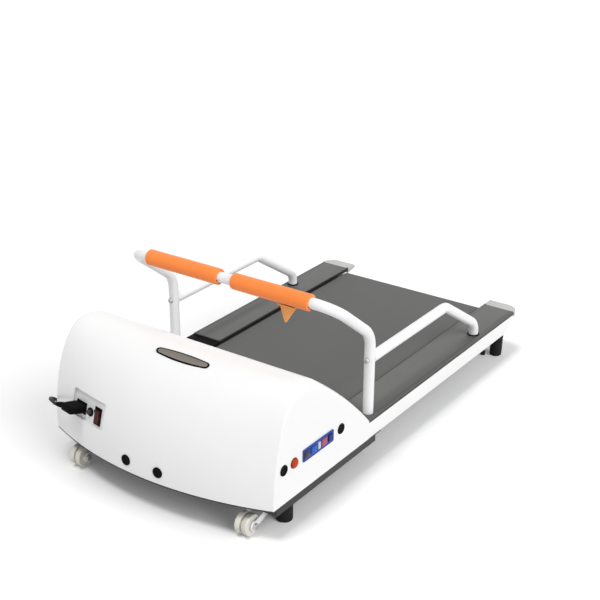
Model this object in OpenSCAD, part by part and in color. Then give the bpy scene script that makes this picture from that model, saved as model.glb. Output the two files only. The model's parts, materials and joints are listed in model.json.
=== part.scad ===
// Treadmill for a small dog: a motor hood at the front, a running belt between two
// foot rails, a padded handlebar over the hood and a bent tube rail on each side.
// Millimetres. X runs across, the hood faces -Y, Z is up and the floor is Z = 0.

/* [Overall] */
// Width across the foot rails and the white side covers
overall_w = 550; // [530:5:590]
// Length from the hood's nose to the rear end caps
overall_l = 1060; // [1030:10:1200]
// Height of the foot rails' tops above the floor
rail_top = 115; // [112:1:125]
// Height from the white side covers' lower edges to the foot rails' tops
cover_h = 43; // [41:1:46]
// Thickness of the white side covers
cover_t = 5; // [4:0.5:7]
// How far the covers' rear ends slant
cover_slant = 44; // [20:1:55]
// Length of the end caps behind the covers
end_cap_l = 31; // [25:1:40]

/* [Frame] */
// Width of a foot rail
foot_rail_w = 79; // [74:1:86]
// How far the side channels stand back under the foot rails
channel_in = 9; // [6:1:12]
// Wall of the side channels
channel_t = 3; // [2:0.5:4]
// Thickness of the grey foot rails
foot_rail_t = 7; // [6:0.5:8]
// Height of the bead along the rails' inner edges
rail_bead = 2; // [1:0.5:3]
// Length of the dark plate ahead of the left foot rail
front_plate_l = 115; // [60:5:160]
// Thickness of the deck board
deck_t = 18; // [15:1:18]
// Thickness of the deck's rubber cushions
cushion_t = 2; // [1.5:0.5:3]
// Width of the cross members
cross_w = 40; // [25:1:60]
// Wall of the cross members
cross_t = 2; // [1.5:0.5:3]
// Depth of the base pan
pan_h = 32; // [28:1:36]
// Wall of the base pan
pan_t = 3; // [2:0.5:4]
// How far the pan's sides stand in from the covers
pan_inset = 13; // [10:1:16]
// How far the pan reaches behind the hood
pan_behind = 48; // [30:1:60]

/* [Hood] */
// Length of the hood along the middle
hood_l = 380; // [370:5:400]
// Height of the hood's ridge above the floor
hood_top = 295; // [280:1:310]
// How far the hood's front bows out in plan
hood_bow = 52; // [30:1:70]
// Run from the front corner back to the ridge
hood_front_run = 98; // [80:1:120]
// Radius of the ridge
hood_ridge_r = 85; // [60:1:100]
// Slope where the ridge meets the rear face, in degrees
hood_break = 36; // [32:1:38]
// Wall of the hood
hood_t = 3; // [2:0.5:4]
// Gap between the hood and the belt
hood_slot = 10; // [8:1:16]

/* [Belt drive] */
// Thickness of the running belt
belt_t = 1.8; // [1.5:0.1:2.5]
// Gap between the belt and each foot rail
belt_side_gap = 6; // [4:0.5:8]
// How far the belt lies below the foot rails
belt_drop = 5; // [3:0.5:6]
// Diameter of both rollers
roller_d = 42; // [38:1:44]
// Diameter of both roller axles
axle_d = 12; // [10:0.5:14]
// Distance from the hood's rear edge to the front roller
front_roller_in = 100; // [90:1:110]
// Distance from the rear end to the rear roller
rear_roller_in = 53; // [50:1:60]
// Radius of the front roller's pulley
roller_pulley_r = 30; // [27:1:32]
// Radius of the motor's pulley
motor_pulley_r = 12; // [10:0.5:15]
// Width of the drive belt
drive_belt_w = 7; // [6:0.5:8]
// Thickness of the drive belt
drive_belt_t = 3; // [2:0.5:4]
// Diameter of the motor
motor_d = 88; // [76:1:92]
// Length of the motor
motor_l = 150; // [120:5:165]
// Distance from the front roller to the motor
motor_ahead = 140; // [132:1:146]
// Diameter of the motor's shaft
motor_shaft_d = 10; // [8:0.5:12]

/* [Handrails] */
// Diameter of the rail tubes
tube_d = 22; // [20:0.5:25]
// Wall of the rail tubes
tube_t = 2; // [1.5:0.5:3]
// Distance from the side cover to the tubes' axes
upright_inset = 21; // [20:0.5:26]
// Distance from the hood to the uprights
upright_behind = 27; // [25:1:40]
// Height where the uprights bend forward
elbow_z = 290; // [280:1:310]
// Height of the padded bar
bar_z = 390; // [380:1:420]
// How far the bar stands ahead of the uprights
bar_forward = 130; // [115:1:140]
// Bend radius of the uprights
elbow_r = 55; // [40:1:60]
// Bend radius of the bar's corners
bar_corner_r = 45; // [35:1:48]
// Height of the side rails
side_rail_z = 236; // [225:1:245]
// Length on plan of the side rails' sloping run
side_rail_slope = 147; // [130:1:165]
// Distance from the covers' rear ends to the side rails' rear feet
side_rail_foot_in = 167; // [140:1:185]
// Height of the side rails' lower bend
side_rail_low_z = 142; // [140:1:150]
// Bend radius at the side rails' upper bends
side_rail_upper_r = 40; // [30:1:60]
// Bend radius at the side rails' lower bends
side_rail_lower_r = 35; // [25:1:38]
// Length of the solid plug in a side rail's front end
rail_plug_l = 40; // [34:1:60]
// Diameter of the bolts that join the side rails to the uprights
rail_bolt_d = 6; // [5:0.5:8]
// Bare length between a grip and the bar's bend
grip_end_gap = 8; // [3:1:30]
// Diameter of the foam grips
grip_d = 34; // [30:0.5:40]
// Bare gap between the two grips
grip_gap = 34; // [20:1:50]
// Width of the tether tab
tab_w = 40; // [30:1:50]
// Drop of the tether tab below the bar
tab_drop = 55; // [40:1:65]
// Distance from the grip's outer end to the middle of the tether tab
tab_in = 53; // [30:1:110]
// Thickness of the tether tab
tab_t = 3; // [2:0.5:5]
// Thickness of the saddle that joins the tab to its grip
tab_saddle_t = 1.5; // [1:0.5:3]
// Height of the collars at the side rails' rear feet
collar_h = 3; // [2:0.5:8]
// Width of the collars' rims
collar_rim = 2.5; // [2:0.5:6]

/* [Controls] */
// Height of the row of controls on the hood's right side
controls_z = 145; // [138:1:150]
// Distance from the hood's front corner to the middle of the panel
panel_back = 143; // [135:1:148]
// Length of the control panel
panel_l = 102; // [96:1:108]
// Height of the control panel
panel_h = 26; // [24:1:30]
// Thickness of the control panel's rim
panel_rim_t = 2; // [1.5:0.5:3]
// Height of the keys in the panel
key_h = 15; // [12:0.5:16]
// How far the keys stand out of the panel
key_proud = 1.5; // [1:0.25:2.5]
// Travel of the keys
key_travel = 1; // [0.5:0.25:1.25]
// Diameter of the red stop button
stop_d = 20; // [16:0.5:22]
// Travel of the red stop button
stop_travel = 2; // [1:0.25:3]
// Distance from the hood's front corner to the stop button
stop_back = 65; // [60:1:68]
// Diameter of the hole plugs' heads
plug_head_d = 22; // [18:0.5:24]
// Diameter of the hole plugs' stems
plug_stem_d = 17; // [12:0.5:18]
// Thickness of the hole plugs' heads
plug_head_t = 2; // [1.5:0.5:3]

/* [Mains inlet] */
// Distance from the hood's left side to the middle of the inlet plate
inlet_in = 115; // [108:1:135]
// Height of the inlet plate
inlet_z = 159; // [152:1:165]
// Length of the opening for the inlet plate
inlet_l = 104; // [100:1:110]
// Height of the opening for the inlet plate
inlet_h = 56; // [54:1:60]
// Depth of the inlet plate below the hood's face
inlet_depth = 8; // [7:0.5:10]
// Thickness of the inlet plate
inlet_plate_t = 2; // [1.5:0.5:3]
// Tilt of the rocker switch either way, in degrees
rocker_tilt = 8; // [5:1:10]
// Diameter of the breaker's button
breaker_d = 10; // [8:0.5:12]
// Travel of the breaker's button
breaker_travel = 3; // [2:0.5:4]

/* [Running gear] */
// Diameter of the front wheels
wheel_d = 44; // [40:1:48]
// Width of the front wheels
wheel_w = 28; // [24:1:32]
// Diameter of the wheel axles
wheel_axle_d = 8; // [6:0.5:10]
// Height of the wheels above the floor while the feet carry the machine
wheel_lift = 2; // [1:0.5:4]
// Distance from the side cover to the middle of a wheel
wheel_inset = 62; // [58:1:70]
// Diameter of the front feet
front_foot_d = 34; // [28:1:40]
// Diameter of the rear feet
rear_foot_d = 32; // [26:1:34]

/* [Cord] */
// Diameter of the mains cord
cord_d = 7; // [6:0.5:8]
// Turns in each layer of the coil
coil_turns = 2.25; // [1.25:1:3.25]
// Radius of the coil's inmost turn
coil_inner_r = 31; // [28:1:36]
// Gap between neighbouring turns
coil_gap = 1.5; // [1.4:0.1:2.5]

/* [Fits] */
// Radial clearance of turning fits
run_fit = 0.05; // [0.02:0.01:0.08]
// Clearance round pieces that slide or drop into place
slip_fit = 0.3; // [0.2:0.05:0.4]

/* [Hidden] */
$fn = 64;
eps = 0.01;

// Main lines of the machine
half_w = overall_w / 2;
front_y = -overall_l / 2;
rear_y = overall_l / 2;
cover_bottom = rail_top - cover_h;
cover_rear_y = rear_y - end_cap_l;
hood_rear_y = front_y + hood_l;
hood_corner_y = front_y + hood_bow;
ridge_y = hood_corner_y + hood_front_run;
hood_rise = hood_top - cover_bottom;

// Hood surface: an ellipse in side view, whose length follows the bow in plan
bow_r = (half_w * half_w + hood_bow * hood_bow) / (2 * hood_bow);
bow_y = front_y + bow_r;
function bow_front(x) = bow_y - sqrt(bow_r * bow_r - x * x);
function front_reach(x) = ridge_y - bow_front(x);
function front_angle(z) = asin((z - cover_bottom) / hood_rise);
function front_point_y(x, z) = ridge_y - front_reach(x) * cos(front_angle(z));
function front_yaw(x, z) = atan(x / sqrt(bow_r * bow_r - x * x) * cos(front_angle(z)));
function front_lean(x, z) = atan(front_reach(x) * tan(front_angle(z)) / hood_rise);

// Rear face of the hood: the ridge's arc, then a long arc down to the foot rails
ridge_knee = [ridge_y + hood_ridge_r * sin(hood_break),
    hood_top - hood_ridge_r * (1 - cos(hood_break))];
break_dir = [sin(hood_break), cos(hood_break)];
rear_drop = [hood_rear_y, rail_top] - ridge_knee;
rear_face_r = -(rear_drop * rear_drop) / (2 * (rear_drop * break_dir));
rear_face_centre = ridge_knee - rear_face_r * break_dir;
rear_face_end = atan2(hood_rear_y - rear_face_centre[0], rail_top - rear_face_centre[1]);
// The rear edge stops a little above the foot rails, and the side walls go down to the pan
hood_rail_gap = 0.2;
hood_side_keep = hood_t + 0.5;
hood_cut_l = 60;
hood_stations = 24;
hood_front_steps = 14;
hood_ridge_steps = 4;
hood_rear_steps = 6;

// Frame
channel_ahead = 40;
channel_rear_in = 11;
channel_end_w = 25;
rail_inner = half_w - foot_rail_w;
belt_w = 2 * (rail_inner - belt_side_gap);
channel_outer = half_w - cover_t;
channel_inner = rail_inner + channel_in;
channel_top = rail_top - foot_rail_t;
channel_front_y = hood_rear_y - front_roller_in - channel_ahead;
channel_rear_y = cover_rear_y - channel_rear_in;
pan_bottom = cover_bottom - pan_h;
pan_side = half_w - pan_inset;
pan_front_in = 28;
pan_front_y = hood_corner_y + pan_front_in;
pan_rear_y = hood_rear_y + pan_behind;
pan_lip_t = 3;
pan_belt_gap = 8;

// Belt drive
run_gap = 0.3;
roller_r = roller_d / 2;
axle_r = axle_d / 2;
belt_in_r = roller_r + run_gap;
belt_out_r = belt_in_r + belt_t;
roller_z = rail_top - belt_drop - belt_out_r;
front_roller_y = hood_rear_y - front_roller_in;
rear_roller_y = rear_y - rear_roller_in;
roller_wall = 4;
roller_end_l = 10;
roller_rail_gap = 1;
roller_channel_gap = 2;
roller_right_x = rail_inner - roller_rail_gap;
front_roller_left_x = roller_channel_gap - channel_inner;
rear_roller_left_x = -roller_right_x;
axle_end_l = 20;
axle_half_l = channel_inner + axle_end_l;
shoulder_w = 3;
shoulder_r = axle_r + shoulder_w;
pulley_rim = 3;
pulley_rim_w = 1.2;
pulley_room = 1;
pulley_w = drive_belt_w + 2 * pulley_rim_w + pulley_room;
pulley_left_x = front_roller_left_x + pulley_room;
pulley_mid_x = pulley_left_x + pulley_w / 2;
motor_y = front_roller_y - motor_ahead;
motor_up = 19;
motor_pulley_gap = 46;
motor_z = pan_bottom + pan_t + motor_up + motor_d / 2;
motor_left_x = pulley_mid_x + motor_pulley_gap;
motor_shaft_r = motor_shaft_d / 2;
tension_bolt_r = 3;
tension_bolt_in = 10;
tension_bolt_x = channel_inner + tension_bolt_in;

// Deck
deck_top = roller_z + belt_in_r;
deck_bottom = deck_top - deck_t;
deck_side_gap = 1;
deck_end_gap = 6;
deck_half_w = rail_inner - deck_side_gap;
deck_front_y = front_roller_y + roller_pulley_r + pulley_rim + deck_end_gap;
deck_rear_y = rear_roller_y - belt_out_r - deck_end_gap;
cross_up = 1;
cross_top = deck_bottom - cushion_t;
cross_bottom = cover_bottom + cross_up;
cross_margin = 35;
cross_y = [deck_front_y + cross_margin, (deck_front_y + deck_rear_y) / 2, deck_rear_y - cross_margin];
cushion_in = 40;
cushion_x = [cushion_in - belt_w / 2, belt_w / 2 - cushion_in];
cushion_l = 50;

// Handrails
tube_r = tube_d / 2;
tube_bore_r = tube_r - tube_t;
upright_x = half_w - upright_inset;
upright_y = hood_rear_y + upright_behind;
tube_foot_z = cover_bottom + channel_t;
bar_y = upright_y - bar_forward;
arm_rise = atan2(bar_z - elbow_z, bar_forward);
arm_dir = [0, -cos(arm_rise), sin(arm_rise)];
elbow_turn = 90 - arm_rise;
elbow_tangent = elbow_r * tan(elbow_turn / 2);
side_foot_y = cover_rear_y - side_rail_foot_in;
side_rail_y = side_foot_y - side_rail_slope;
side_fall = atan2(side_rail_z - side_rail_low_z, side_foot_y - side_rail_y);
upper_tangent = side_rail_upper_r * tan(side_fall / 2);
lower_tangent = side_rail_lower_r * tan((90 - side_fall) / 2);
// A bend draws the tube a little thinner, and the straight runs lap onto it
bend_thinning = 0.3;
bend_lap = 2;
rail_bolt_r = rail_bolt_d / 2;
bolt_head_r = 6;
bolt_head_t = 4;
grip_fit = 0.1;
grip_l = upright_x - bar_corner_r - grip_end_gap - grip_gap / 2;
tab_x = grip_gap / 2 + grip_l - tab_in;

// Controls, in a row on the hood's right side
panel_y = hood_corner_y + panel_back;
stop_y = hood_corner_y + stop_back;
panel_rim_w = 2;
panel_boss_t = 3;
panel_boss_x = half_w - hood_t - panel_boss_t;
panel_board_t = 2;
key_flange_t = 1.4;
key_flange_w = 1;
key_back_room = 4.3;
panel_board_x = panel_boss_x - slip_fit - key_flange_t - key_travel - key_back_room;
// Each key: distance of its front edge from the panel's front end, and its width
blue_key_place = [26, 19];
white_key_place = [49, 8];
red_key_place = [61, 18];
dark_key_place = [83, 14];
key_places = [blue_key_place, white_key_place, red_key_place, dark_key_place];
side_plug_front_in = 32;
side_plug_rear_in = 106;
side_plug_y = [hood_corner_y + side_plug_front_in, hood_rear_y - side_plug_rear_in];
front_plug_x = 40;
front_plug_up = 25;
front_plug_z = cover_bottom + front_plug_up;
plug_stem_l = 7;
stop_r = stop_d / 2;
stop_rim = 1.6;
stop_flange = 1;
stop_proud = 5;
stop_flange_t = 1.5;
stop_sleeve_in = 7;
stop_sleeve_x = half_w - stop_sleeve_in;
stop_back_room = 2.2;
stop_back_x = stop_sleeve_x - slip_fit - stop_flange_t - stop_travel - stop_back_room;
stop_depth = 32;
stop_switch_x = half_w - stop_depth;
badge_arc_l = 190;
badge_end_x = 56;
badge_w = 23;
badge_t = 3;
badge_x = 18;
badge_drop = 7;
badge_z = hood_top - badge_drop;

// Mains inlet, in a frame that lies on the hood's face
inlet_x = inlet_in - half_w;
sleeve_w = 5;
sleeve_start = 3.9;
// The switch, breaker and inlet stand in a row, a little below the middle of the opening
fittings_z = -7;
switch_x = 26;
switch_w = 21;
switch_h = 36;
switch_lip = 1;
switch_bezel_t = 2;
rocker_pivot = 3;
switch_body_d = 26;
switch_back_t = 12;
rocker_w = 15;
rocker_h = 27;
rocker_pin_r = 1.5;
rocker_pin_l = 1.5;
breaker_x = 1;
breaker_ring_r = 9;
breaker_ring_t = 2;
breaker_lip = 2;
breaker_flange = 1;
breaker_stop = 2;
breaker_body_d = 24;
breaker_proud = 5;
breaker_foot = 3.6;
breaker_well = breaker_foot + breaker_travel + 1.4;
socket_x = -29;
socket_w = 32;
socket_h = 24;
socket_lip = 2;
socket_flange_t = 2;
socket_body_d = 24;
socket_back_t = 6;
socket_hole_w = 24;
socket_hole_h = 16;
connector_w = 36;
connector_h = 18;
connector_d = 38;
connector_nose_d = 14;
// The strain relief leaves the connector's left side and points a little down
relief_l = 24;
relief_in = 10;
relief_fall = 14;
relief_big_r = 6.5;
relief_small_r = 4.6;
plate_face = inlet_depth;

// Running gear
wheel_r = wheel_d / 2;
wheel_axle_r = wheel_axle_d / 2;
wheel_x = half_w - wheel_inset;
wheel_z = wheel_r + wheel_lift;
wheel_y = hood_corner_y;
fork_gap = 1.5;
fork_t = 3;
fork_seat_in = 1;
fork_foot_gap = 3;
wheel_groove_w = 5;
wheel_groove_depth = 6;
front_foot_in = 35;
front_foot_back = 55;
front_foot_x = half_w - front_foot_in;
front_foot_y = pan_front_y + front_foot_back;
rear_foot_in = 32;
rear_foot_ahead = 4;
rear_foot_x = half_w - rear_foot_in;
rear_foot_y = channel_rear_y - rear_foot_ahead;
leveller_r = 6;
leveller_in = 56;
leveller_ahead = 20;
leveller_x = half_w - leveller_in;
leveller_y = rear_foot_y - leveller_ahead;

// Cord: it leaves the connector, turns back round the hood and drops to a coil beside the machine
cord_r = cord_d / 2;
cord_sides = 10;
floor_gap = 0.1;
coil_aside = 81;
coil_ahead = 112;
coil_centre = [-half_w - coil_aside, hood_rear_y - coil_ahead];
coil_pitch = cord_d + coil_gap;
coil_outer_r = coil_inner_r + coil_turns * coil_pitch;
coil_layer_z = cord_r + floor_gap;
coil_rings_per_turn = 24;
coil_sides = 6;
// The free stretch's points, from the hood's left front corner
cord_corner = [-half_w, hood_corner_y, 0];
cord_steps = [[19, -28, 149], [6, -20, 145], [-6, -8, 138], [-14, 7, 128], [-18, 24, 114],
    [-20, 42, 98], [-21, 61, 80], [-22, 80, 62], [-24, 100, 44], [-26, 121, 27], [-28, 144, 13],
    [-30, 168, 6]];
cord_points = [for (step = cord_steps) cord_corner + step];
plug_neck_l = 16;
plug_neck_wall = 1.5;
plug_body_l = 42;
plug_body_w = 34;
plug_body_h = 26;
plug_pin_l = 18;
plug_pin_r = 2.4;
plug_pin_gap = 19;

// Small shapes that repeat
module box(low, high) {
    translate(low) cube(high - low);
}

module x_rod(r, x0, x1, y, z) {
    translate([x0, y, z]) rotate([0, 90, 0]) cylinder(r = r, h = x1 - x0);
}

module y_rod(r, y0, y1, x, z) {
    translate([x, y0, z]) rotate([-90, 0, 0]) cylinder(r = r, h = y1 - y0);
}

module z_rod(r, z0, z1, x, y) {
    translate([x, y, z0]) cylinder(r = r, h = z1 - z0);
}

module rod(start, end, r) {
    run = end - start;
    length = norm(run);
    translate(start) rotate([0, acos(run[2] / length), atan2(run[1], run[0])]) cylinder(r = r, h = length);
}

// A side outline, with Y to the right and Z up, drawn out along X
module along_x(x0, x1) {
    translate([x0, 0, 0]) rotate([90, 0, 90]) linear_extrude(x1 - x0) children();
}

// A front outline, with X to the right and Z up, drawn out along Y
module along_y(y0, y1) {
    translate([0, y1, 0]) rotate([90, 0, 0]) linear_extrude(y1 - y0) children();
}

module both_sides() {
    children();
    mirror([1, 0, 0]) children();
}

module on_side(side) {
    flip = side < 0 ? 1 : 0;
    mirror([flip, 0, 0]) children();
}

// A frame on the hood's face: its X along the face, its -Y outward and its Z up the face
module on_front(x, z) {
    translate([x, front_point_y(x, z), z])
        rotate([0, 0, front_yaw(x, z)])
            rotate([-front_lean(x, z), 0, 0])
                children();
}

// Frame
module base_pan() {
    lip_low = cover_bottom - pan_lip_t;
    color("dimgray") difference() {
        union() {
            intersection() {
                translate([0, bow_y, lip_low]) cylinder(r = bow_r, h = pan_lip_t, $fn = 128);
                box([-half_w, front_y - 1, lip_low], [half_w, pan_rear_y, cover_bottom]);
            }
            box([-pan_side, pan_front_y, pan_bottom], [pan_side, pan_rear_y, cover_bottom]);
        }
        box([-pan_side + pan_t, pan_front_y + pan_t, pan_bottom + pan_t],
            [pan_side - pan_t, pan_rear_y - pan_t, cover_bottom + 1]);
        box([-rail_inner, pan_rear_y - pan_t - 1, roller_z - belt_out_r - pan_belt_gap],
            [rail_inner, pan_rear_y + 1, cover_bottom + 1]);
    }
}

module side_frame(side) {
    color("gainsboro") on_side(side) difference() {
        box([channel_inner, channel_front_y, cover_bottom], [channel_outer, channel_rear_y, channel_top]);
        box([channel_inner + channel_t, channel_front_y - 1, cover_bottom + channel_t],
            [channel_outer + 1, channel_rear_y - channel_t, channel_top - channel_t]);
        along_x(channel_inner + channel_end_w, channel_outer + 1) rear_slant_cut(6);
        x_rod(axle_r + slip_fit, channel_inner - 1, channel_inner + channel_t + 1, front_roller_y, roller_z);
        rear_axle_slot();
        y_rod(tension_bolt_r + slip_fit, channel_rear_y - channel_t - 1, channel_rear_y + 1,
            tension_bolt_x, roller_z);
        z_rod(tube_r + slip_fit, channel_top - channel_t - 1, channel_top + 1, upright_x, upright_y);
        z_rod(tube_r + slip_fit, channel_top - channel_t - 1, channel_top + 1, upright_x, side_foot_y);
    }
}

module rear_axle_slot() {
    slot = 7;
    for (shift = [-slot, slot])
        x_rod(axle_r + slip_fit, channel_inner - 1, channel_inner + channel_t + 1,
            rear_roller_y + shift, roller_z);
    box([channel_inner - 1, rear_roller_y - slot, roller_z - axle_r - slip_fit],
        [channel_inner + channel_t + 1, rear_roller_y + slot, roller_z + axle_r + slip_fit]);
}

// What lies behind the slanted rear ends of the side covers
module rear_slant_cut(ahead) {
    reach = 100;
    polygon([[cover_rear_y - cover_slant - ahead, cover_bottom], [cover_rear_y - ahead, rail_top],
        [cover_rear_y + reach, rail_top], [cover_rear_y + reach, cover_bottom - 1],
        [cover_rear_y - cover_slant - ahead, cover_bottom - 1]]);
}

module side_cover(side) {
    color("white") on_side(side) along_x(channel_outer, half_w)
        polygon([[hood_rear_y, cover_bottom], [cover_rear_y - cover_slant, cover_bottom],
            [cover_rear_y, channel_top], [hood_rear_y, channel_top]]);
}

module foot_rail_section() {
    edge_r = foot_rail_t / 2;
    bead_r = 3;
    translate([rail_inner, channel_top]) square([half_w - edge_r - rail_inner, foot_rail_t]);
    translate([rail_inner, channel_top]) square([half_w - rail_inner, foot_rail_t - edge_r]);
    translate([half_w - edge_r, rail_top - edge_r]) circle(edge_r);
    translate([rail_inner + bead_r, rail_top + rail_bead - bead_r]) circle(bead_r);
}

module foot_rail(side, start_y) {
    color("gray") on_side(side) difference() {
        along_y(start_y, cover_rear_y) foot_rail_section();
        for (y = [upright_y, side_foot_y])
            z_rod(tube_r + slip_fit, channel_top - 1, rail_top + 1, upright_x, y);
    }
}

module left_rail_front_plate() {
    plate_t = foot_rail_t - 3;
    color("black") difference() {
        box([-half_w, hood_rear_y, channel_top],
            [-rail_inner, hood_rear_y + front_plate_l, channel_top + plate_t]);
        z_rod(tube_r + slip_fit, channel_top - 1, rail_top + 1, -upright_x, upright_y);
    }
}

module rear_end_caps() {
    cap_deep = 13;
    cap_tip = 7;
    corner_r = end_cap_l - slip_fit;
    color("lightgray") both_sides() intersection() {
        along_x(rail_inner, half_w)
            polygon([[cover_rear_y, rail_top - cap_deep], [rear_y, rail_top - cap_tip], [rear_y, rail_top],
                [cover_rear_y, rail_top]]);
        union() {
            box([rail_inner, cover_rear_y, 0], [half_w - corner_r, rear_y, rail_top]);
            z_rod(corner_r, 0, rail_top, half_w - corner_r, rear_y - corner_r);
        }
    }
}

module deck_board() {
    color("dimgray")
        box([-deck_half_w, deck_front_y, deck_bottom], [deck_half_w, deck_rear_y, deck_top]);
}

module deck_cushions() {
    color("black") for (x = cushion_x, y = cross_y)
        box([x - cushion_l / 2, y - cross_w / 2, cross_top],
            [x + cushion_l / 2, y + cross_w / 2, deck_bottom]);
}

module cross_members() {
    color("gainsboro") for (y = cross_y) difference() {
        box([-channel_inner, y - cross_w / 2, cross_bottom], [channel_inner, y + cross_w / 2, cross_top]);
        box([-channel_inner - 1, y - cross_w / 2 + cross_t, cross_bottom + cross_t],
            [channel_inner + 1, y + cross_w / 2 - cross_t, cross_top - cross_t]);
    }
}

// Belt drive
module belt_outline(r) {
    for (y = [front_roller_y, rear_roller_y]) translate([y, roller_z]) circle(r);
    translate([front_roller_y, roller_z - r]) square([rear_roller_y - front_roller_y, 2 * r]);
}

module running_belt() {
    color("gray") along_x(-belt_w / 2, belt_w / 2) difference() {
        belt_outline(belt_out_r);
        belt_outline(belt_in_r);
    }
}

module roller(left_x, y) {
    color("silver") difference() {
        x_rod(roller_r, left_x, roller_right_x, y, roller_z);
        x_rod(roller_r - roller_wall, left_x + roller_end_l, roller_right_x - roller_end_l, y, roller_z);
        x_rod(axle_r + run_fit, left_x - 1, roller_right_x + 1, y, roller_z);
    }
}

module roller_pulley() {
    right_x = pulley_left_x + pulley_w;
    color("dimgray") difference() {
        union() {
            x_rod(roller_pulley_r, pulley_left_x, right_x, front_roller_y, roller_z);
            for (x = [pulley_left_x, right_x - pulley_rim_w])
                x_rod(roller_pulley_r + pulley_rim, x, x + pulley_rim_w, front_roller_y, roller_z);
        }
        x_rod(roller_r + run_fit, pulley_left_x - 1, right_x + 1, front_roller_y, roller_z);
    }
}

module roller_axle(left_x, y) {
    x_rod(axle_r, -axle_half_l, axle_half_l, y, roller_z);
    x_rod(shoulder_r, roller_right_x + run_gap, channel_inner - run_gap, y, roller_z);
    x_rod(shoulder_r, -channel_inner + run_gap, left_x - run_gap, y, roller_z);
}

module front_axle() {
    color("silver") roller_axle(front_roller_left_x, front_roller_y);
}

module rear_axle() {
    color("silver") difference() {
        roller_axle(rear_roller_left_x, rear_roller_y);
        both_sides() y_rod(tension_bolt_r + run_fit, rear_roller_y - axle_r - 1, rear_roller_y + axle_r + 1,
            tension_bolt_x, roller_z);
    }
}

module tension_bolts() {
    head_t = 5;
    head_r = 5.5;
    color("silver") both_sides() union() {
        y_rod(tension_bolt_r, rear_roller_y - axle_r - 4, channel_rear_y, tension_bolt_x, roller_z);
        y_rod(head_r, channel_rear_y, channel_rear_y + head_t, tension_bolt_x, roller_z, $fn = 6);
    }
}

module motor() {
    end_l = 14;
    end_r = motor_d / 2 - 5;
    right_x = motor_left_x + motor_l;
    color("dimgray") difference() {
        union() {
            x_rod(motor_d / 2, motor_left_x + end_l, right_x - end_l, motor_y, motor_z);
            x_rod(end_r, motor_left_x, right_x, motor_y, motor_z);
        }
        x_rod(motor_shaft_r + run_fit, motor_left_x - 1, right_x + 1, motor_y, motor_z);
    }
}

module motor_mount() {
    margin = 25;
    half_l = 36;
    cradle_below = 15;
    floor_z = pan_bottom + pan_t;
    color("dimgray") difference() {
        box([motor_left_x + margin, motor_y - half_l, floor_z],
            [motor_left_x + motor_l - margin, motor_y + half_l, motor_z - cradle_below]);
        x_rod(motor_d / 2 + slip_fit, motor_left_x, motor_left_x + motor_l, motor_y, motor_z);
    }
}

module motor_shaft() {
    right_x = pulley_left_x + pulley_w;
    color("silver") union() {
        x_rod(motor_shaft_r, pulley_left_x - 1, motor_left_x + motor_l - 5, motor_y, motor_z);
        x_rod(motor_pulley_r, pulley_left_x, right_x, motor_y, motor_z);
        for (x = [pulley_left_x, right_x - pulley_rim_w])
            x_rod(motor_pulley_r + pulley_rim, x, x + pulley_rim_w, motor_y, motor_z);
    }
}

// Outline round both pulleys, with straight runs that touch both circles
module drive_outline(grow) {
    big = [front_roller_y, roller_z];
    small = [motor_y, motor_z];
    big_r = roller_pulley_r + run_gap + grow;
    small_r = motor_pulley_r + run_gap + grow;
    span = small - big;
    heading = atan2(span[1], span[0]);
    spread = acos((big_r - small_r) / norm(span));
    up = [cos(heading - spread), sin(heading - spread)];
    down = [cos(heading + spread), sin(heading + spread)];
    translate(big) circle(big_r);
    translate(small) circle(small_r);
    polygon([big + big_r * up, small + small_r * up, small, small + small_r * down, big + big_r * down, big]);
}

module drive_belt() {
    color("black") along_x(pulley_mid_x - drive_belt_w / 2, pulley_mid_x + drive_belt_w / 2) difference() {
        drive_outline(drive_belt_t);
        drive_outline(0);
    }
}

// Electronics on the base pan
board_size = [130, 105, 2];
board_side_gap = 30;
board_front_gap = 20;
board_up = 8;
board_low = [pan_side - board_side_gap - board_size[0], pan_front_y + board_front_gap,
    pan_bottom + pan_t + board_up];

module control_board() {
    post_r = 4;
    post_in = 8;
    color("seagreen") union() {
        translate(board_low) cube(board_size);
        for (x = [post_in, board_size[0] - post_in], y = [post_in, board_size[1] - post_in])
            z_rod(post_r, pan_bottom + pan_t, board_low[2] + 1, board_low[0] + x, board_low[1] + y);
    }
}

module heat_sink() {
    sink = [60, 45, 5];
    sink_place = [35, 30, board_size[2]];
    fin_h = 22;
    fin_t = 2;
    fin_gap = 8;
    color("silver") translate(board_low + sink_place) union() {
        cube(sink);
        for (x = [0 : fin_gap : sink[0] - fin_t]) translate([x, 0, 0]) cube([fin_t, sink[1], fin_h]);
    }
}

// Hood
function hood_outline(x, t, low) = concat(
    low < cover_bottom ? [[ridge_y - front_reach(x) + t, low]] : [],
    [for (step = [0 : hood_front_steps]) let (a = 90 * step / hood_front_steps)
        [ridge_y - (front_reach(x) - t) * cos(a), cover_bottom + (hood_rise - t) * sin(a)]],
    [for (step = [1 : hood_ridge_steps]) let (a = hood_break * step / hood_ridge_steps)
        [ridge_y + (hood_ridge_r - t) * sin(a), hood_top - hood_ridge_r + (hood_ridge_r - t) * cos(a)]],
    [for (step = [1 : hood_rear_steps])
        let (a = hood_break + (rear_face_end - hood_break) * step / hood_rear_steps)
        rear_face_centre + (rear_face_r - t) * [sin(a), cos(a)]],
    [[rear_face_centre[0] + (rear_face_r - t) * sin(rear_face_end), low]]);

function skin_faces(stations, count) = concat(
    [for (i = [0 : stations - 2], j = [0 : count - 1])
        [i * count + j, (i + 1) * count + j, (i + 1) * count + (j + 1) % count]],
    [for (i = [0 : stations - 2], j = [0 : count - 1])
        [i * count + j, (i + 1) * count + (j + 1) % count, i * count + (j + 1) % count]],
    [[for (j = [0 : count - 1]) j]],
    [[for (j = [0 : count - 1]) stations * count - 1 - j]]);

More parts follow.
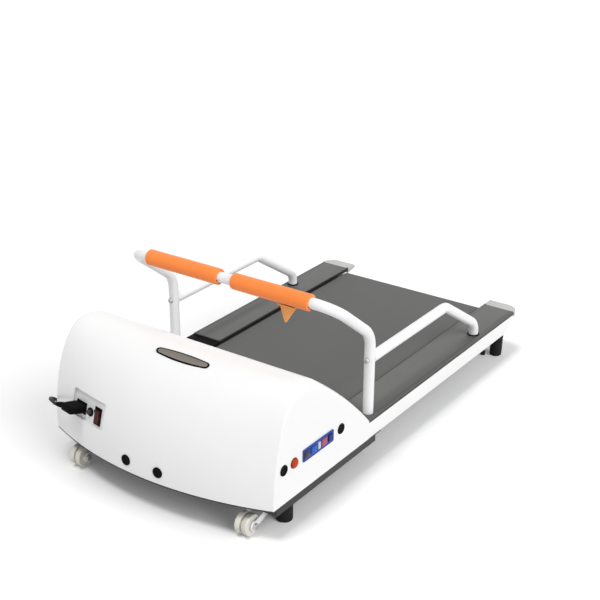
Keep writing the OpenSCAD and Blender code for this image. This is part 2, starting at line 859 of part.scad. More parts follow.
module hood_body(t, low) {
    outlines = [for (i = [0 : hood_stations]) let (x = (half_w - t) * (1 - 2 * i / hood_stations))
        [for (p = hood_outline(x, t, low)) [x, p[0], p[1]]]];
    polyhedron(points = [for (outline = outlines) for (p = outline) p],
        faces = skin_faces(len(outlines), len(outlines[0])));
}

module inlet_window(grow, y0, y1) {
    on_front(inlet_x, inlet_z)
        box([-inlet_l / 2 - grow, y0, -inlet_h / 2 - grow], [inlet_l / 2 + grow, y1, inlet_h / 2 + grow]);
}

module hood() {
    color("white") difference() {
        union() {
            difference() {
                hood_body(0, cover_bottom);
                hood_body(hood_t, cover_bottom - 20);
                box([-half_w + hood_side_keep, hood_rear_y - hood_cut_l, cover_bottom - 1],
                    [half_w - hood_side_keep, hood_rear_y + 1, rail_top + hood_rail_gap]);
                box([-rail_inner, hood_rear_y - hood_cut_l, cover_bottom - 1],
                    [rail_inner, hood_rear_y + 1, rail_top - belt_drop + hood_slot]);
            }
            inlet_window(sleeve_w, sleeve_start, plate_face);
        }
        inlet_window(0, -20, plate_face + 1);
        for (x = [-front_plug_x, front_plug_x]) on_front(x, front_plug_z)
            y_rod(plug_stem_d / 2 + slip_fit, -20, 20, 0, 0);
        both_sides() for (y = side_plug_y)
            x_rod(plug_stem_d / 2 + slip_fit, half_w - hood_t - 1, half_w + 1, y, controls_z);
        x_rod(stop_r + stop_flange + stop_rim + slip_fit, half_w - hood_t - 1, half_w + 1,
            stop_y, controls_z);
        box([half_w - hood_t - 1, panel_y - panel_l / 2 + panel_rim_w - slip_fit,
            controls_z - panel_h / 2 + panel_rim_w - slip_fit],
            [half_w + 1, panel_y + panel_l / 2 - panel_rim_w + slip_fit,
            controls_z + panel_h / 2 - panel_rim_w + slip_fit]);
    }
}

// A push-in plug whose head stands outward from the local origin towards -Y
module hole_plug(head_back) {
    y_rod(plug_head_d / 2, head_back - plug_head_t, head_back, 0, 0);
    y_rod(plug_stem_d / 2, head_back - eps, plug_stem_l, 0, 0);
}

module hood_plugs() {
    face_gap = 0.1;
    color("black") union() {
        for (x = [-front_plug_x, front_plug_x]) on_front(x, front_plug_z) hole_plug(-face_gap);
        both_sides() for (y = side_plug_y) translate([half_w, y, controls_z]) rotate([0, 0, 90]) hole_plug(0);
    }
}

// A long oval: two shallow arcs, with a small round at each end
module badge_outline() {
    arc_r = (badge_arc_l * badge_arc_l + badge_w * badge_w) / (4 * badge_w);
    end_r = sqrt(arc_r * arc_r - badge_end_x * badge_end_x) - arc_r + badge_w / 2;
    intersection() {
        translate([0, arc_r - badge_w / 2]) circle(arc_r, $fn = 512);
        translate([0, badge_w / 2 - arc_r]) circle(arc_r, $fn = 512);
        translate([-badge_end_x, -badge_w]) square([2 * badge_end_x, 2 * badge_w]);
    }
    for (x = [-badge_end_x, badge_end_x]) translate([x, 0]) circle(end_r);
}

module hood_badge() {
    color("silver") on_front(badge_x, badge_z)
        translate([0, -badge_t, 0]) rotate([-90, 0, 0]) linear_extrude(badge_t) badge_outline();
}

// Mains inlet on the hood's front
module inlet_plate() {
    margin = sleeve_w - 0.5;
    color("white") on_front(inlet_x, inlet_z) difference() {
        box([-inlet_l / 2 - margin, plate_face, -inlet_h / 2 - margin],
            [inlet_l / 2 + margin, plate_face + inlet_plate_t, inlet_h / 2 + margin]);
        plate_window(switch_x, switch_w / 2 - switch_lip + slip_fit, switch_h / 2 - switch_lip + slip_fit);
        plate_window(socket_x, socket_w / 2 - socket_lip + slip_fit, socket_h / 2 - socket_lip + slip_fit);
        y_rod(breaker_ring_r - breaker_lip + slip_fit, plate_face - 1, plate_face + inlet_plate_t + 1,
            breaker_x, fittings_z);
    }
}

module plate_window(x, half_l, half_h) {
    box([x - half_l, plate_face - 1, fittings_z - half_h],
        [x + half_l, plate_face + inlet_plate_t + 1, fittings_z + half_h]);
}

// A frame on the inlet plate's face, at one of its fittings
module on_plate(x) {
    on_front(inlet_x, inlet_z) translate([x, plate_face, fittings_z]) children();
}

module mains_inlet() {
    body_w = socket_w - 2 * socket_lip;
    body_h = socket_h - 2 * socket_lip;
    color("black") on_plate(socket_x) difference() {
        union() {
            box([-socket_w / 2, -socket_flange_t, -socket_h / 2], [socket_w / 2, 0, socket_h / 2]);
            box([-body_w / 2, -eps, -body_h / 2], [body_w / 2, socket_body_d, body_h / 2]);
        }
        box([-socket_hole_w / 2, -socket_flange_t - 1, -socket_hole_h / 2],
            [socket_hole_w / 2, socket_body_d - socket_back_t, socket_hole_h / 2]);
    }
}

module breaker_body() {
    color("black") on_plate(breaker_x) difference() {
        union() {
            y_rod(breaker_ring_r, -breaker_ring_t, 0, 0, 0);
            y_rod(breaker_ring_r - breaker_lip, -eps, breaker_body_d, 0, 0);
        }
        y_rod(breaker_d / 2 + slip_fit, -breaker_ring_t - 1, breaker_well, 0, 0);
        y_rod(breaker_d / 2 + breaker_flange + slip_fit, breaker_stop, breaker_well, 0, 0);
    }
}

module breaker_button() {
    color("dimgray") on_plate(breaker_x) union() {
        y_rod(breaker_d / 2, -breaker_ring_t - breaker_proud, breaker_foot - eps, 0, 0);
        y_rod(breaker_d / 2 + breaker_flange, breaker_stop + slip_fit, breaker_foot, 0, 0);
    }
}

module switch_housing() {
    rocker_room = 1.2;
    pin_room = rocker_w / 2 + rocker_pin_l + slip_fit;
    color("black") on_plate(switch_x) difference() {
        union() {
            box([-switch_w / 2, -switch_bezel_t, -switch_h / 2], [switch_w / 2, 0, switch_h / 2]);
            box([-switch_w / 2 + switch_lip, -eps, -switch_h / 2 + switch_lip],
                [switch_w / 2 - switch_lip, switch_body_d, switch_h / 2 - switch_lip]);
        }
        box([-rocker_w / 2 - slip_fit, -switch_bezel_t - 1, -rocker_h / 2 - rocker_room],
            [rocker_w / 2 + slip_fit, switch_body_d - switch_back_t, rocker_h / 2 + rocker_room]);
        x_rod(rocker_pin_r + run_fit, -pin_room, pin_room, rocker_pivot, 0);
    }
}

module rocker_switch() {
    crest = 9;
    hollow = 6;
    back = 4;
    color("brown") on_plate(switch_x) translate([0, rocker_pivot, 0])
        rotate([rocker_tilt, 0, 0]) union() {
            along_x(-rocker_w / 2, rocker_w / 2)
                polygon([[-crest, -rocker_h / 2], [-hollow, 0], [-crest, rocker_h / 2],
                    [back, rocker_h / 2 - 1], [back, 1 - rocker_h / 2]]);
            x_rod(rocker_pin_r, -rocker_w / 2 - rocker_pin_l, rocker_w / 2 + rocker_pin_l, 0, 0);
        }
}

// Control panel on the hood's right side
module key_window(place, grow, x0, x1) {
    y0 = panel_y - panel_l / 2 + place[0];
    box([x0, y0 - grow, controls_z - key_h / 2 - grow],
        [x1, y0 + place[1] + grow, controls_z + key_h / 2 + grow]);
}

module control_panel() {
    boss_l = panel_l - 2 * panel_rim_w;
    boss_h = panel_h - 2 * panel_rim_w;
    post_w = 1.4;
    color("mediumblue") difference() {
        union() {
            box([half_w, panel_y - panel_l / 2, controls_z - panel_h / 2],
                [half_w + panel_rim_t, panel_y + panel_l / 2, controls_z + panel_h / 2]);
            box([panel_boss_x, panel_y - boss_l / 2, controls_z - boss_h / 2],
                [half_w + eps, panel_y + boss_l / 2, controls_z + boss_h / 2]);
            for (y = [panel_y - boss_l / 2, panel_y + boss_l / 2 - post_w])
                box([panel_board_x, y, controls_z - boss_h / 2],
                    [panel_boss_x + eps, y + post_w, controls_z + boss_h / 2]);
        }
        for (place = key_places) key_window(place, slip_fit, panel_boss_x - 1, half_w + panel_rim_t + 1);
    }
}

module panel_board() {
    margin = 2;
    color("seagreen")
        box([panel_board_x - panel_board_t, panel_y - panel_l / 2 + margin,
            controls_z - panel_h / 2 + margin],
            [panel_board_x, panel_y + panel_l / 2 - margin, controls_z + panel_h / 2 - margin]);
}

module panel_key(place, tint) {
    color(tint) union() {
        key_window(place, 0, panel_boss_x - key_flange_t, half_w + panel_rim_t + key_proud);
        key_window(place, key_flange_w, panel_boss_x - slip_fit - key_flange_t, panel_boss_x - slip_fit);
    }
}

module stop_housing() {
    shell_r = stop_r + stop_flange + stop_rim;
    color("black") difference() {
        union() {
            x_rod(shell_r + 1.5, half_w, half_w + 2, stop_y, controls_z);
            x_rod(shell_r, stop_switch_x, half_w + eps, stop_y, controls_z);
        }
        x_rod(stop_r + slip_fit, stop_sleeve_x - 1, half_w + 3, stop_y, controls_z);
        x_rod(stop_r + stop_flange + slip_fit, stop_back_x, stop_sleeve_x, stop_y, controls_z);
    }
}

module stop_button() {
    color("orangered") union() {
        x_rod(stop_r, stop_sleeve_x - slip_fit - 1, half_w + stop_proud, stop_y, controls_z);
        x_rod(stop_r + stop_flange, stop_sleeve_x - slip_fit - stop_flange_t, stop_sleeve_x - slip_fit,
            stop_y, controls_z);
    }
}

// Handrails
module half_handlebar(r, foot_z) {
    corner = [upright_x, bar_y, bar_z];
    elbow_low = elbow_z - elbow_tangent;
    arm_start = [upright_x, upright_y, elbow_z] + elbow_tangent * arm_dir;
    arm_end = corner - bar_corner_r * arm_dir;
    z_rod(r, foot_z, elbow_low + bend_lap, upright_x, upright_y);
    translate([upright_x, upright_y - elbow_r, elbow_low]) rotate([90, 0, 90])
        rotate_extrude(angle = elbow_turn) translate([elbow_r, 0]) circle(r - bend_thinning);
    rod(arm_start - bend_lap * arm_dir, arm_end + bend_lap * arm_dir, r);
    translate(arm_end - [bar_corner_r, 0, 0]) rotate([180 - arm_rise, 0, 0])
        rotate_extrude(angle = 90) translate([bar_corner_r, 0]) circle(r - bend_thinning);
}

module bar_run(r) {
    reach = upright_x - bar_corner_r + bend_lap;
    x_rod(r, -reach, reach, bar_y, bar_z);
}

module handlebar() {
    color("white") difference() {
        union() {
            both_sides() half_handlebar(tube_r, tube_foot_z);
            bar_run(tube_r);
        }
        both_sides() half_handlebar(tube_bore_r, tube_foot_z - 1);
        bar_run(tube_bore_r);
        both_sides() y_rod(rail_bolt_r + slip_fit, upright_y - tube_r - 1, upright_y + tube_r + 1,
            upright_x, side_rail_z);
    }
}

module side_rail_path(r, start_y, foot_z) {
    x = upright_x;
    upper = [x, side_rail_y, side_rail_z];
    lower = [x, side_foot_y, side_rail_low_z];
    fall_dir = [0, cos(side_fall), -sin(side_fall)];
    y_rod(r, start_y, side_rail_y - upper_tangent + bend_lap, x, side_rail_z);
    translate([x, side_rail_y - upper_tangent, side_rail_z - side_rail_upper_r]) rotate([90, 0, 90])
        rotate([0, 0, 90 - side_fall]) rotate_extrude(angle = side_fall)
            translate([side_rail_upper_r, 0]) circle(r - bend_thinning);
    rod(upper + (upper_tangent - bend_lap) * fall_dir, lower - (lower_tangent - bend_lap) * fall_dir, r);
    translate([x, side_foot_y - side_rail_lower_r, side_rail_low_z - lower_tangent]) rotate([90, 0, 90])
        rotate_extrude(angle = 90 - side_fall)
            translate([side_rail_lower_r, 0]) circle(r - bend_thinning);
    z_rod(r, foot_z, side_rail_low_z - lower_tangent + bend_lap, x, side_foot_y);
}

module side_rail(side) {
    color("white") on_side(side) difference() {
        side_rail_path(tube_r, upright_y + tube_r + slip_fit, tube_foot_z);
        side_rail_path(tube_bore_r, upright_y + rail_plug_l, tube_foot_z - 1);
        y_rod(rail_bolt_r + run_fit, upright_y, upright_y + rail_plug_l + 1, upright_x, side_rail_z);
    }
}

module handrail_bolts() {
    head_y = upright_y - tube_r - 0.2;
    color("gray") both_sides() union() {
        y_rod(bolt_head_r, head_y - bolt_head_t, head_y, upright_x, side_rail_z);
        y_rod(rail_bolt_r, head_y - eps, upright_y + rail_plug_l - 5, upright_x, side_rail_z);
    }
}

module grip(side) {
    color("darkorange") on_side(side) difference() {
        x_rod(grip_d / 2, grip_gap / 2, grip_gap / 2 + grip_l, bar_y, bar_z);
        x_rod(tube_r + grip_fit, grip_gap / 2 - 1, grip_gap / 2 + grip_l + 1, bar_y, bar_z);
    }
}

module tether_tab() {
    saddle_r = grip_d / 2 + slip_fit;
    saddle_reach = 12;
    saddle_end_in = 3;
    saddle_x = tab_w / 2 - saddle_end_in;
    tip_shift = 6;
    color("orange") difference() {
        union() {
            intersection() {
                x_rod(saddle_r + tab_saddle_t, tab_x - saddle_x, tab_x + saddle_x, bar_y, bar_z);
                box([tab_x - tab_w, bar_y - saddle_reach, bar_z - grip_d],
                    [tab_x + tab_w, bar_y + saddle_reach, bar_z]);
            }
            along_y(bar_y - tab_t / 2, bar_y + tab_t / 2)
                polygon([[tab_x - tab_w / 2, bar_z - saddle_r], [tab_x + tab_w / 2, bar_z - saddle_r],
                    [tab_x - tip_shift, bar_z - tab_drop]]);
        }
        x_rod(saddle_r, tab_x - tab_w, tab_x + tab_w, bar_y, bar_z);
    }
}

module rail_collars() {
    color("black") both_sides() difference() {
        z_rod(tube_r + collar_rim, rail_top, rail_top + collar_h, upright_x, side_foot_y);
        z_rod(tube_r + slip_fit, rail_top - 1, rail_top + collar_h + 1, upright_x, side_foot_y);
    }
}

// Running gear
module wheel_brackets() {
    inner = wheel_w / 2 + fork_gap;
    seat_front = pan_front_y + fork_seat_in;
    seat_rear = front_foot_y - front_foot_d / 2 - fork_foot_gap;
    color("white") both_sides() difference() {
        union() {
            box([wheel_x - inner - fork_t, seat_front, pan_bottom - fork_t],
                [wheel_x + inner + fork_t, seat_rear, pan_bottom]);
            for (x = [wheel_x - inner - fork_t, wheel_x + inner])
                along_x(x, x + fork_t) fork_outline(seat_front, seat_rear);
        }
        x_rod(wheel_axle_r + run_fit, wheel_x - wheel_w, wheel_x + wheel_w, wheel_y, wheel_z);
    }
}

// A slanting arm from the plate under the pan down to the axle
module fork_outline(seat_front, seat_rear) {
    eye_w = 6;
    arm_w = 4;
    arm_half = wheel_axle_r + arm_w;
    translate([wheel_y, wheel_z]) circle(wheel_axle_r + eye_w);
    polygon([[wheel_y, wheel_z + arm_half], [seat_front, pan_bottom], [seat_rear, pan_bottom],
        [seat_rear, pan_bottom - fork_t], [wheel_y, wheel_z - arm_half]]);
}

module wheel_axles() {
    reach = wheel_w / 2 + fork_gap + fork_t;
    head_t = 5;
    color("silver") both_sides() union() {
        x_rod(wheel_axle_r, wheel_x - reach - head_t, wheel_x + reach + head_t, wheel_y, wheel_z);
        x_rod(wheel_axle_r + 3, wheel_x + reach, wheel_x + reach + head_t, wheel_y, wheel_z);
        x_rod(wheel_axle_r + 3, wheel_x - reach - head_t, wheel_x - reach, wheel_y, wheel_z, $fn = 6);
    }
}

module wheel(side) {
    color("ivory") on_side(side) difference() {
        x_rod(wheel_r, wheel_x - wheel_w / 2, wheel_x + wheel_w / 2, wheel_y, wheel_z);
        difference() {
            x_rod(wheel_r + 1, wheel_x - wheel_groove_w / 2, wheel_x + wheel_groove_w / 2, wheel_y, wheel_z);
            x_rod(wheel_r - wheel_groove_depth, wheel_x - wheel_w, wheel_x + wheel_w, wheel_y, wheel_z);
        }
        x_rod(wheel_axle_r + run_fit, wheel_x - wheel_w, wheel_x + wheel_w, wheel_y, wheel_z);
    }
}

module rubber_feet() {
    color("black") both_sides() union() {
        z_rod(front_foot_d / 2, 0, pan_bottom, front_foot_x, front_foot_y);
        translate([rear_foot_x, rear_foot_y, 0])
            cylinder(r1 = rear_foot_d / 2 - 2, r2 = rear_foot_d / 2, h = cover_bottom);
        z_rod(leveller_r, 0, cover_bottom, leveller_x, leveller_y);
    }
}

// Mains lead
module mains_connector() {
    front = -socket_flange_t - connector_d;
    back = -socket_flange_t - slip_fit;
    color("black") on_plate(socket_x) union() {
        box([-connector_w / 2, front, -connector_h / 2], [connector_w / 2, back, connector_h / 2]);
        box([-socket_hole_w / 2 + slip_fit, back - 1, -socket_hole_h / 2 + slip_fit],
            [socket_hole_w / 2 - slip_fit, connector_nose_d, socket_hole_h / 2 - slip_fit]);
        translate([-connector_w / 2 + relief_root, front + relief_in, 0]) rotate([0, -90 - relief_fall, 0])
            cylinder(r1 = relief_big_r, r2 = relief_small_r, h = relief_root + relief_l);
    }
}

// Where the cord leaves the connector, and which way
relief_root = 3;
relief_out = [-cos(relief_fall), 0, -sin(relief_fall)];
relief_start = [socket_x - connector_w / 2 + relief_root,
    plate_face - socket_flange_t - connector_d + relief_in, fittings_z];
relief_end = relief_start + (relief_root + relief_l) * relief_out;
lean = front_lean(inlet_x, inlet_z);
yaw = front_yaw(inlet_x, inlet_z);
function leaned(p) = [p[0], p[1] * cos(lean) + p[2] * sin(lean), p[2] * cos(lean) - p[1] * sin(lean)];
function turned(p) = [p[0] * cos(yaw) - p[1] * sin(yaw), p[0] * sin(yaw) + p[1] * cos(yaw), p[2]];
cord_start = [inlet_x, front_point_y(inlet_x, inlet_z), inlet_z] + turned(leaned(relief_end));
cord_out = turned(leaned(relief_out));

// Coil: in to the inmost turn, up a layer over half a turn, and out again
coil_start_angle = 0;
coil_half = coil_turns * coil_rings_per_turn;
coil_climb = coil_rings_per_turn / 2;
coil_steps = 2 * coil_half + coil_climb;
function coil_radius(i) = i <= coil_half ? coil_outer_r - coil_pitch * i / coil_rings_per_turn
    : i <= coil_half + coil_climb ? coil_inner_r
    : coil_inner_r + coil_pitch * (i - coil_half - coil_climb) / coil_rings_per_turn;
function coil_height(i) = coil_layer_z
    + coil_pitch * max(0, min(1, (i - coil_half) / coil_climb));
function coil_angle(i) = coil_start_angle + 360 * i / coil_rings_per_turn;
function coil_point(i) = [coil_centre[0] + coil_radius(i) * cos(coil_angle(i)),
    coil_centre[1] + coil_radius(i) * sin(coil_angle(i)), coil_height(i)];
function coil_heading(i) = [-sin(coil_angle(i)), cos(coil_angle(i)), 0];
coil_in = coil_point(0) - cord_d * coil_heading(0);
// The last end runs on until the plug's body is clear of the coil
coil_tail_l = max(cord_d, coil_outer_r + cord_d - plug_neck_l);
coil_out = coil_point(coil_steps) + coil_tail_l * coil_heading(coil_steps);
coil_path = concat([coil_in], [for (i = [0 : coil_steps]) coil_point(i)], [coil_out]);

function unit(v) = v / norm(v);
function path_heading(path, i) = i == 0 ? unit(path[1] - path[0])
    : i == len(path) - 1 ? unit(path[i] - path[i - 1])
    : unit(unit(path[i + 1] - path[i]) + unit(path[i] - path[i - 1]));
function ring(path, i, r, sides) = let (
    ahead = path_heading(path, i),
    across = unit(cross([0, 0, 1], ahead)),
    above = cross(ahead, across))
    [for (k = [0 : sides - 1]) path[i] + r * (cos(360 * k / sides) * across + sin(360 * k / sides) * above)];

module swept_tube(path, r, sides) {
    rings = [for (i = [0 : len(path) - 1]) ring(path, i, r, sides)];
    polyhedron(points = [for (one = rings) for (p = one) p], faces = skin_faces(len(path), sides));
}

// The free stretch, through its chosen points, with straight ends
cord_lead = 1.2 * cord_d;
cord_path = concat([cord_start, cord_start + cord_lead * cord_out], cord_points,
    [coil_in - cord_lead * coil_heading(0), coil_in]);
function path_length(path, i = 0) = i >= len(path) - 1 ? 0
    : norm(path[i + 1] - path[i]) + path_length(path, i + 1);

// Least distance between turns of the coil, less the cord's own thickness
coil_neighbour = coil_rings_per_turn / 2;
coil_spacing = min([for (i = [0 : coil_steps], j = [i + coil_neighbour : coil_steps])
    norm(coil_point(i) - coil_point(j))]);
echo(coil_clear = coil_spacing - cord_d, free_cord = path_length(cord_path),
    coil_cord = path_length(coil_path), cord_start = cord_start, cord_out = cord_out);

module mains_cord() {
    color("black") swept_tube(cord_path, cord_r, cord_sides);
}

module cord_coil() {
    color("black") swept_tube(coil_path, cord_r, coil_sides);
}

module wall_plug() {
    heading = coil_angle(coil_steps) + 90;
    body_end = plug_neck_l + plug_body_l;
    color("black") translate(coil_out) rotate([0, 0, heading]) union() {
        x_rod(cord_r + plug_neck_wall, 0, plug_neck_l, 0, 0);
        box([plug_neck_l - eps, -plug_body_w / 2, -coil_out[2] + floor_gap],
            [body_end, plug_body_w / 2, plug_body_h - coil_out[2] + floor_gap]);
        for (y = [-plug_pin_gap / 2, plug_pin_gap / 2])
            x_rod(plug_pin_r, body_end - eps, body_end + plug_pin_l, y, plug_body_h / 2 - coil_out[2]);
    }
}

base_pan();
side_frame(-1);  // left_side_frame
side_frame(1);  // right_side_frame
side_cover(-1);  // left_side_cover
side_cover(1);  // right_side_cover
foot_rail(-1, hood_rear_y + front_plate_l);  // left_foot_rail
foot_rail(1, hood_rear_y);  // right_foot_rail
left_rail_front_plate();
rear_end_caps();
deck_board();
deck_cushions();
cross_members();
running_belt();
roller(front_roller_left_x, front_roller_y);  // front_roller
roller_pulley();
front_axle();
roller(rear_roller_left_x, rear_roller_y);  // rear_roller
rear_axle();
tension_bolts();
motor();
motor_mount();
motor_shaft();
drive_belt();
control_board();
heat_sink();
hood();
hood_plugs();
hood_badge();
inlet_plate();
mains_inlet();
breaker_body();
breaker_button();
switch_housing();
rocker_switch();
control_panel();
panel_board();
panel_key(blue_key_place, "royalblue");  // blue_key
panel_key(white_key_place, "white");  // white_key
panel_key(red_key_place, "palevioletred");  // red_key
panel_key(dark_key_place, "midnightblue");  // dark_key
stop_housing();
stop_button();
handlebar();
side_rail(-1);  // left_side_rail
side_rail(1);  // right_side_rail
grip(-1);  // left_grip
grip(1);  // right_grip
tether_tab();
handrail_bolts();
rail_collars();
wheel_brackets();
wheel_axles();
wheel(-1);  // left_wheel
wheel(1);  // right_wheel
rubber_feet();
mains_connector();
mains_cord();
cord_coil();
wall_plug();
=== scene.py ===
import bpy
import json
from math import asin, atan, atan2, cos, pi, radians, sin, sqrt, tan
from mathutils import Matrix, Vector


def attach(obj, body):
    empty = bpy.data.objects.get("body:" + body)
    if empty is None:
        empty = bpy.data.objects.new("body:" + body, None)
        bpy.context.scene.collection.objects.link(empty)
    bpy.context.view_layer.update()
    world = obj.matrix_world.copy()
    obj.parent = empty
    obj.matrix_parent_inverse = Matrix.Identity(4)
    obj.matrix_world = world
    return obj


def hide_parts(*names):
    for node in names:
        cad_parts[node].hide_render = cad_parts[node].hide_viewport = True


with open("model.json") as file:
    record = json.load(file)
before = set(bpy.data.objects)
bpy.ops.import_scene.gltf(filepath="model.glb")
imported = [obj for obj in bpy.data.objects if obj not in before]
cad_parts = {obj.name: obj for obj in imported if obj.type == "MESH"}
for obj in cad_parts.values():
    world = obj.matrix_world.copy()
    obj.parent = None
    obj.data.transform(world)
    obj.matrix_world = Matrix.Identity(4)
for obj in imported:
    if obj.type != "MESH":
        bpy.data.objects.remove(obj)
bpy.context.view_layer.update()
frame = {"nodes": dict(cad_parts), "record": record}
nodes = frame["nodes"]
scene = bpy.context.scene
mm = 0.001
bothSides = ((1, "right"), (-1, "left"))
print("frame loaded:", len(nodes), "nodes")


# camera at the photograph's angle
cameraSetup = {
    "place": (1.390, -2.0035, 1.328),
    "right": (0.8088, 0.588, -0.0034),
    "up": (-0.2569, 0.3585, 0.8975),
    "back": (0.529, -0.7251, 0.441),
    "lens": 73.8,
    "sensor": 36,
    "shift": (0.0437, 0.0859),
    "farthest": 50,
}
cameraData = bpy.data.cameras.new("photoCamera")
camera = bpy.data.objects.new("photoCamera", cameraData)
scene.collection.objects.link(camera)
axes = Matrix((cameraSetup["right"], cameraSetup["up"], cameraSetup["back"])).transposed()
camera.matrix_world = Matrix.Translation(cameraSetup["place"]) @ axes.to_4x4()
cameraData.lens = cameraSetup["lens"]
cameraData.sensor_width = cameraSetup["sensor"]
cameraData.shift_x, cameraData.shift_y = cameraSetup["shift"]
cameraData.clip_end = cameraSetup["farthest"]
scene.camera = camera
scene.view_settings.view_transform = "Standard"


# small tools for working by operator, with sizes and places in millimetres
mergeGap = 0.00001  # metres, points nearer than this are one
flatAngle = 0.8  # degrees, faces that differ by less are one
facing = 0.95  # least part of a face's normal along the way that it faces


def pickOnly(obj):
    if bpy.context.object and bpy.context.object.mode != "OBJECT":
        bpy.ops.object.mode_set(mode="OBJECT")
    bpy.ops.object.select_all(action="DESELECT")
    obj.select_set(True)
    bpy.context.view_layer.objects.active = obj


def settle(obj):  # place, turn and size go into the mesh
    pickOnly(obj)
    bpy.ops.object.transform_apply(location=True, rotation=True, scale=True)


def applyAll(obj):
    pickOnly(obj)
    for modifier in list(obj.modifiers):
        bpy.ops.object.modifier_apply(modifier=modifier.name)


def roundEdges(obj, width, segments=3, degrees=30):
    bevel = obj.modifiers.new("roundedEdges", "BEVEL")
    bevel.width = width * mm
    bevel.segments = segments
    bevel.limit_method = "ANGLE"
    bevel.angle_limit = radians(degrees)
    bevel.use_clamp_overlap = True
    applyAll(obj)


def giveWall(obj, thickness):  # a sheet grows inwards
    skin = obj.modifiers.new("wall", "SOLIDIFY")
    skin.thickness = thickness * mm
    skin.offset = -1
    applyAll(obj)


def fixNormals(obj, merge=mergeGap):
    pickOnly(obj)
    bpy.ops.object.mode_set(mode="EDIT")
    bpy.ops.mesh.select_all(action="SELECT")
    bpy.ops.mesh.remove_doubles(threshold=merge)
    bpy.ops.mesh.normals_make_consistent(inside=False)
    bpy.ops.object.mode_set(mode="OBJECT")


def selectFaces(obj, test):  # edit mode, with only the faces that pass the test picked
    pickOnly(obj)
    bpy.ops.object.mode_set(mode="EDIT")
    bpy.ops.mesh.select_mode(type="FACE")
    bpy.ops.mesh.select_all(action="DESELECT")
    bpy.ops.object.mode_set(mode="OBJECT")
    for face in obj.data.polygons:
        face.select = bool(test(face.normal))
    bpy.ops.object.mode_set(mode="EDIT")


def cutAway(obj, cutter):
    cut = obj.modifiers.new("cut", "BOOLEAN")
    cut.operation = "DIFFERENCE"
    cut.solver = "EXACT"
    cut.object = cutter
    applyAll(obj)
    bpy.data.objects.remove(cutter, do_unlink=True)


def addBlock(name, low, high):
    middle = [(a + b) / 2 * mm for a, b in zip(low, high)]
    bpy.ops.object.select_all(action="DESELECT")
    bpy.ops.mesh.primitive_cube_add(size=1, location=middle)
    block = bpy.context.object
    block.name = name
    block.scale = [(b - a) * mm for a, b in zip(low, high)]
    settle(block)
    return block


def addRod(name, radius, start, end, sides=48):
    start, end = Vector(start) * mm, Vector(end) * mm
    run = end - start
    bpy.ops.object.select_all(action="DESELECT")
    bpy.ops.mesh.primitive_cylinder_add(
        vertices=sides, radius=radius * mm, depth=run.length, location=(start + end) / 2,
        rotation=run.to_track_quat("Z", "Y").to_euler())
    rod = bpy.context.object
    rod.name = name
    settle(rod)
    return rod


def turned(name, rings, place, towards, sides=48):  # rings of (radius, height), base first
    bpy.ops.object.select_all(action="DESELECT")
    bpy.ops.mesh.primitive_circle_add(vertices=sides, radius=rings[0][0] * mm, fill_type="NGON")
    made = bpy.context.object
    made.name = name
    bpy.ops.object.mode_set(mode="EDIT")
    bpy.ops.mesh.select_all(action="SELECT")
    bpy.ops.transform.translate(value=(0, 0, rings[0][1] * mm))
    for (radius, height), (nextRadius, nextHeight) in zip(rings, rings[1:]):
        growth = nextRadius / radius
        bpy.ops.mesh.extrude_region_move(TRANSFORM_OT_translate={"value": (0, 0, (nextHeight - height) * mm)})
        bpy.ops.transform.resize(value=(growth, growth, 1), center_override=(0, 0, nextHeight * mm))
    bpy.ops.object.mode_set(mode="OBJECT")
    fixNormals(made)
    heading = Vector(towards).to_track_quat("Z", "Y").to_matrix().to_4x4()
    made.matrix_world = Matrix.Translation(Vector(place) * mm) @ heading
    settle(made)
    return made


def griddedSheet(name, columns, rows, spot, thickness):  # spot(u, v) is a place, with u and v from 0 to 1
    bpy.ops.object.select_all(action="DESELECT")
    bpy.ops.mesh.primitive_grid_add(x_subdivisions=columns, y_subdivisions=rows, size=1)
    made = bpy.context.object
    made.name = name
    for vertex in made.data.vertices:
        vertex.co = spot(vertex.co.x + 0.5, vertex.co.y + 0.5) * mm
    giveWall(made, thickness)
    fixNormals(made, mergeGap / 10)
    return made


def squaredPlate(name, low, high, corner, segments):  # a block whose four edges along X are rounded
    plate = addBlock(name, low, high)
    pickOnly(plate)
    bpy.ops.object.mode_set(mode="EDIT")
    bpy.ops.mesh.select_mode(type="EDGE")
    bpy.ops.mesh.select_all(action="DESELECT")
    bpy.ops.object.mode_set(mode="OBJECT")
    for edge in plate.data.edges:
        a, b = (plate.data.vertices[i].co for i in edge.vertices)
        edge.select = abs(a.x - b.x) > abs(high[0] - low[0]) / 2 * mm
    bpy.ops.object.mode_set(mode="EDIT")
    bpy.ops.mesh.bevel(offset=corner * mm, segments=segments, affect="EDGES")
    bpy.ops.object.mode_set(mode="OBJECT")
    return plate


def raiseFace(obj, inset, height):  # the face towards +X is inset, then moved out
    selectFaces(obj, lambda normal: normal.x > facing)
    bpy.ops.mesh.inset(thickness=inset * mm)
    bpy.ops.transform.translate(value=(height * mm, 0, 0))
    bpy.ops.object.mode_set(mode="OBJECT")


def joinAll(name, pieces):
    pickOnly(pieces[0])
    for piece in pieces:
        piece.select_set(True)
    bpy.ops.object.join()
    pieces[0].name = name
    return pieces[0]


def paint(obj, material):
    obj.data.materials.clear()
    obj.data.materials.append(material)


def finishPiece(obj, body, slot, replaced=(), degrees=35, material=None):
    pickOnly(obj)
    bpy.ops.object.shade_smooth_by_angle(angle=radians(degrees))
    paint(obj, material or surfaces[slot])
    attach(obj, body)
    if replaced:
        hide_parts(*replaced)
    return obj


slotOf = {part["node"]: part["material_slot"] for part in frame["record"]["subparts"]}
bodyOf = {node: body for body, members in frame["record"]["behaviour"]["bodies"].items() for node in members}


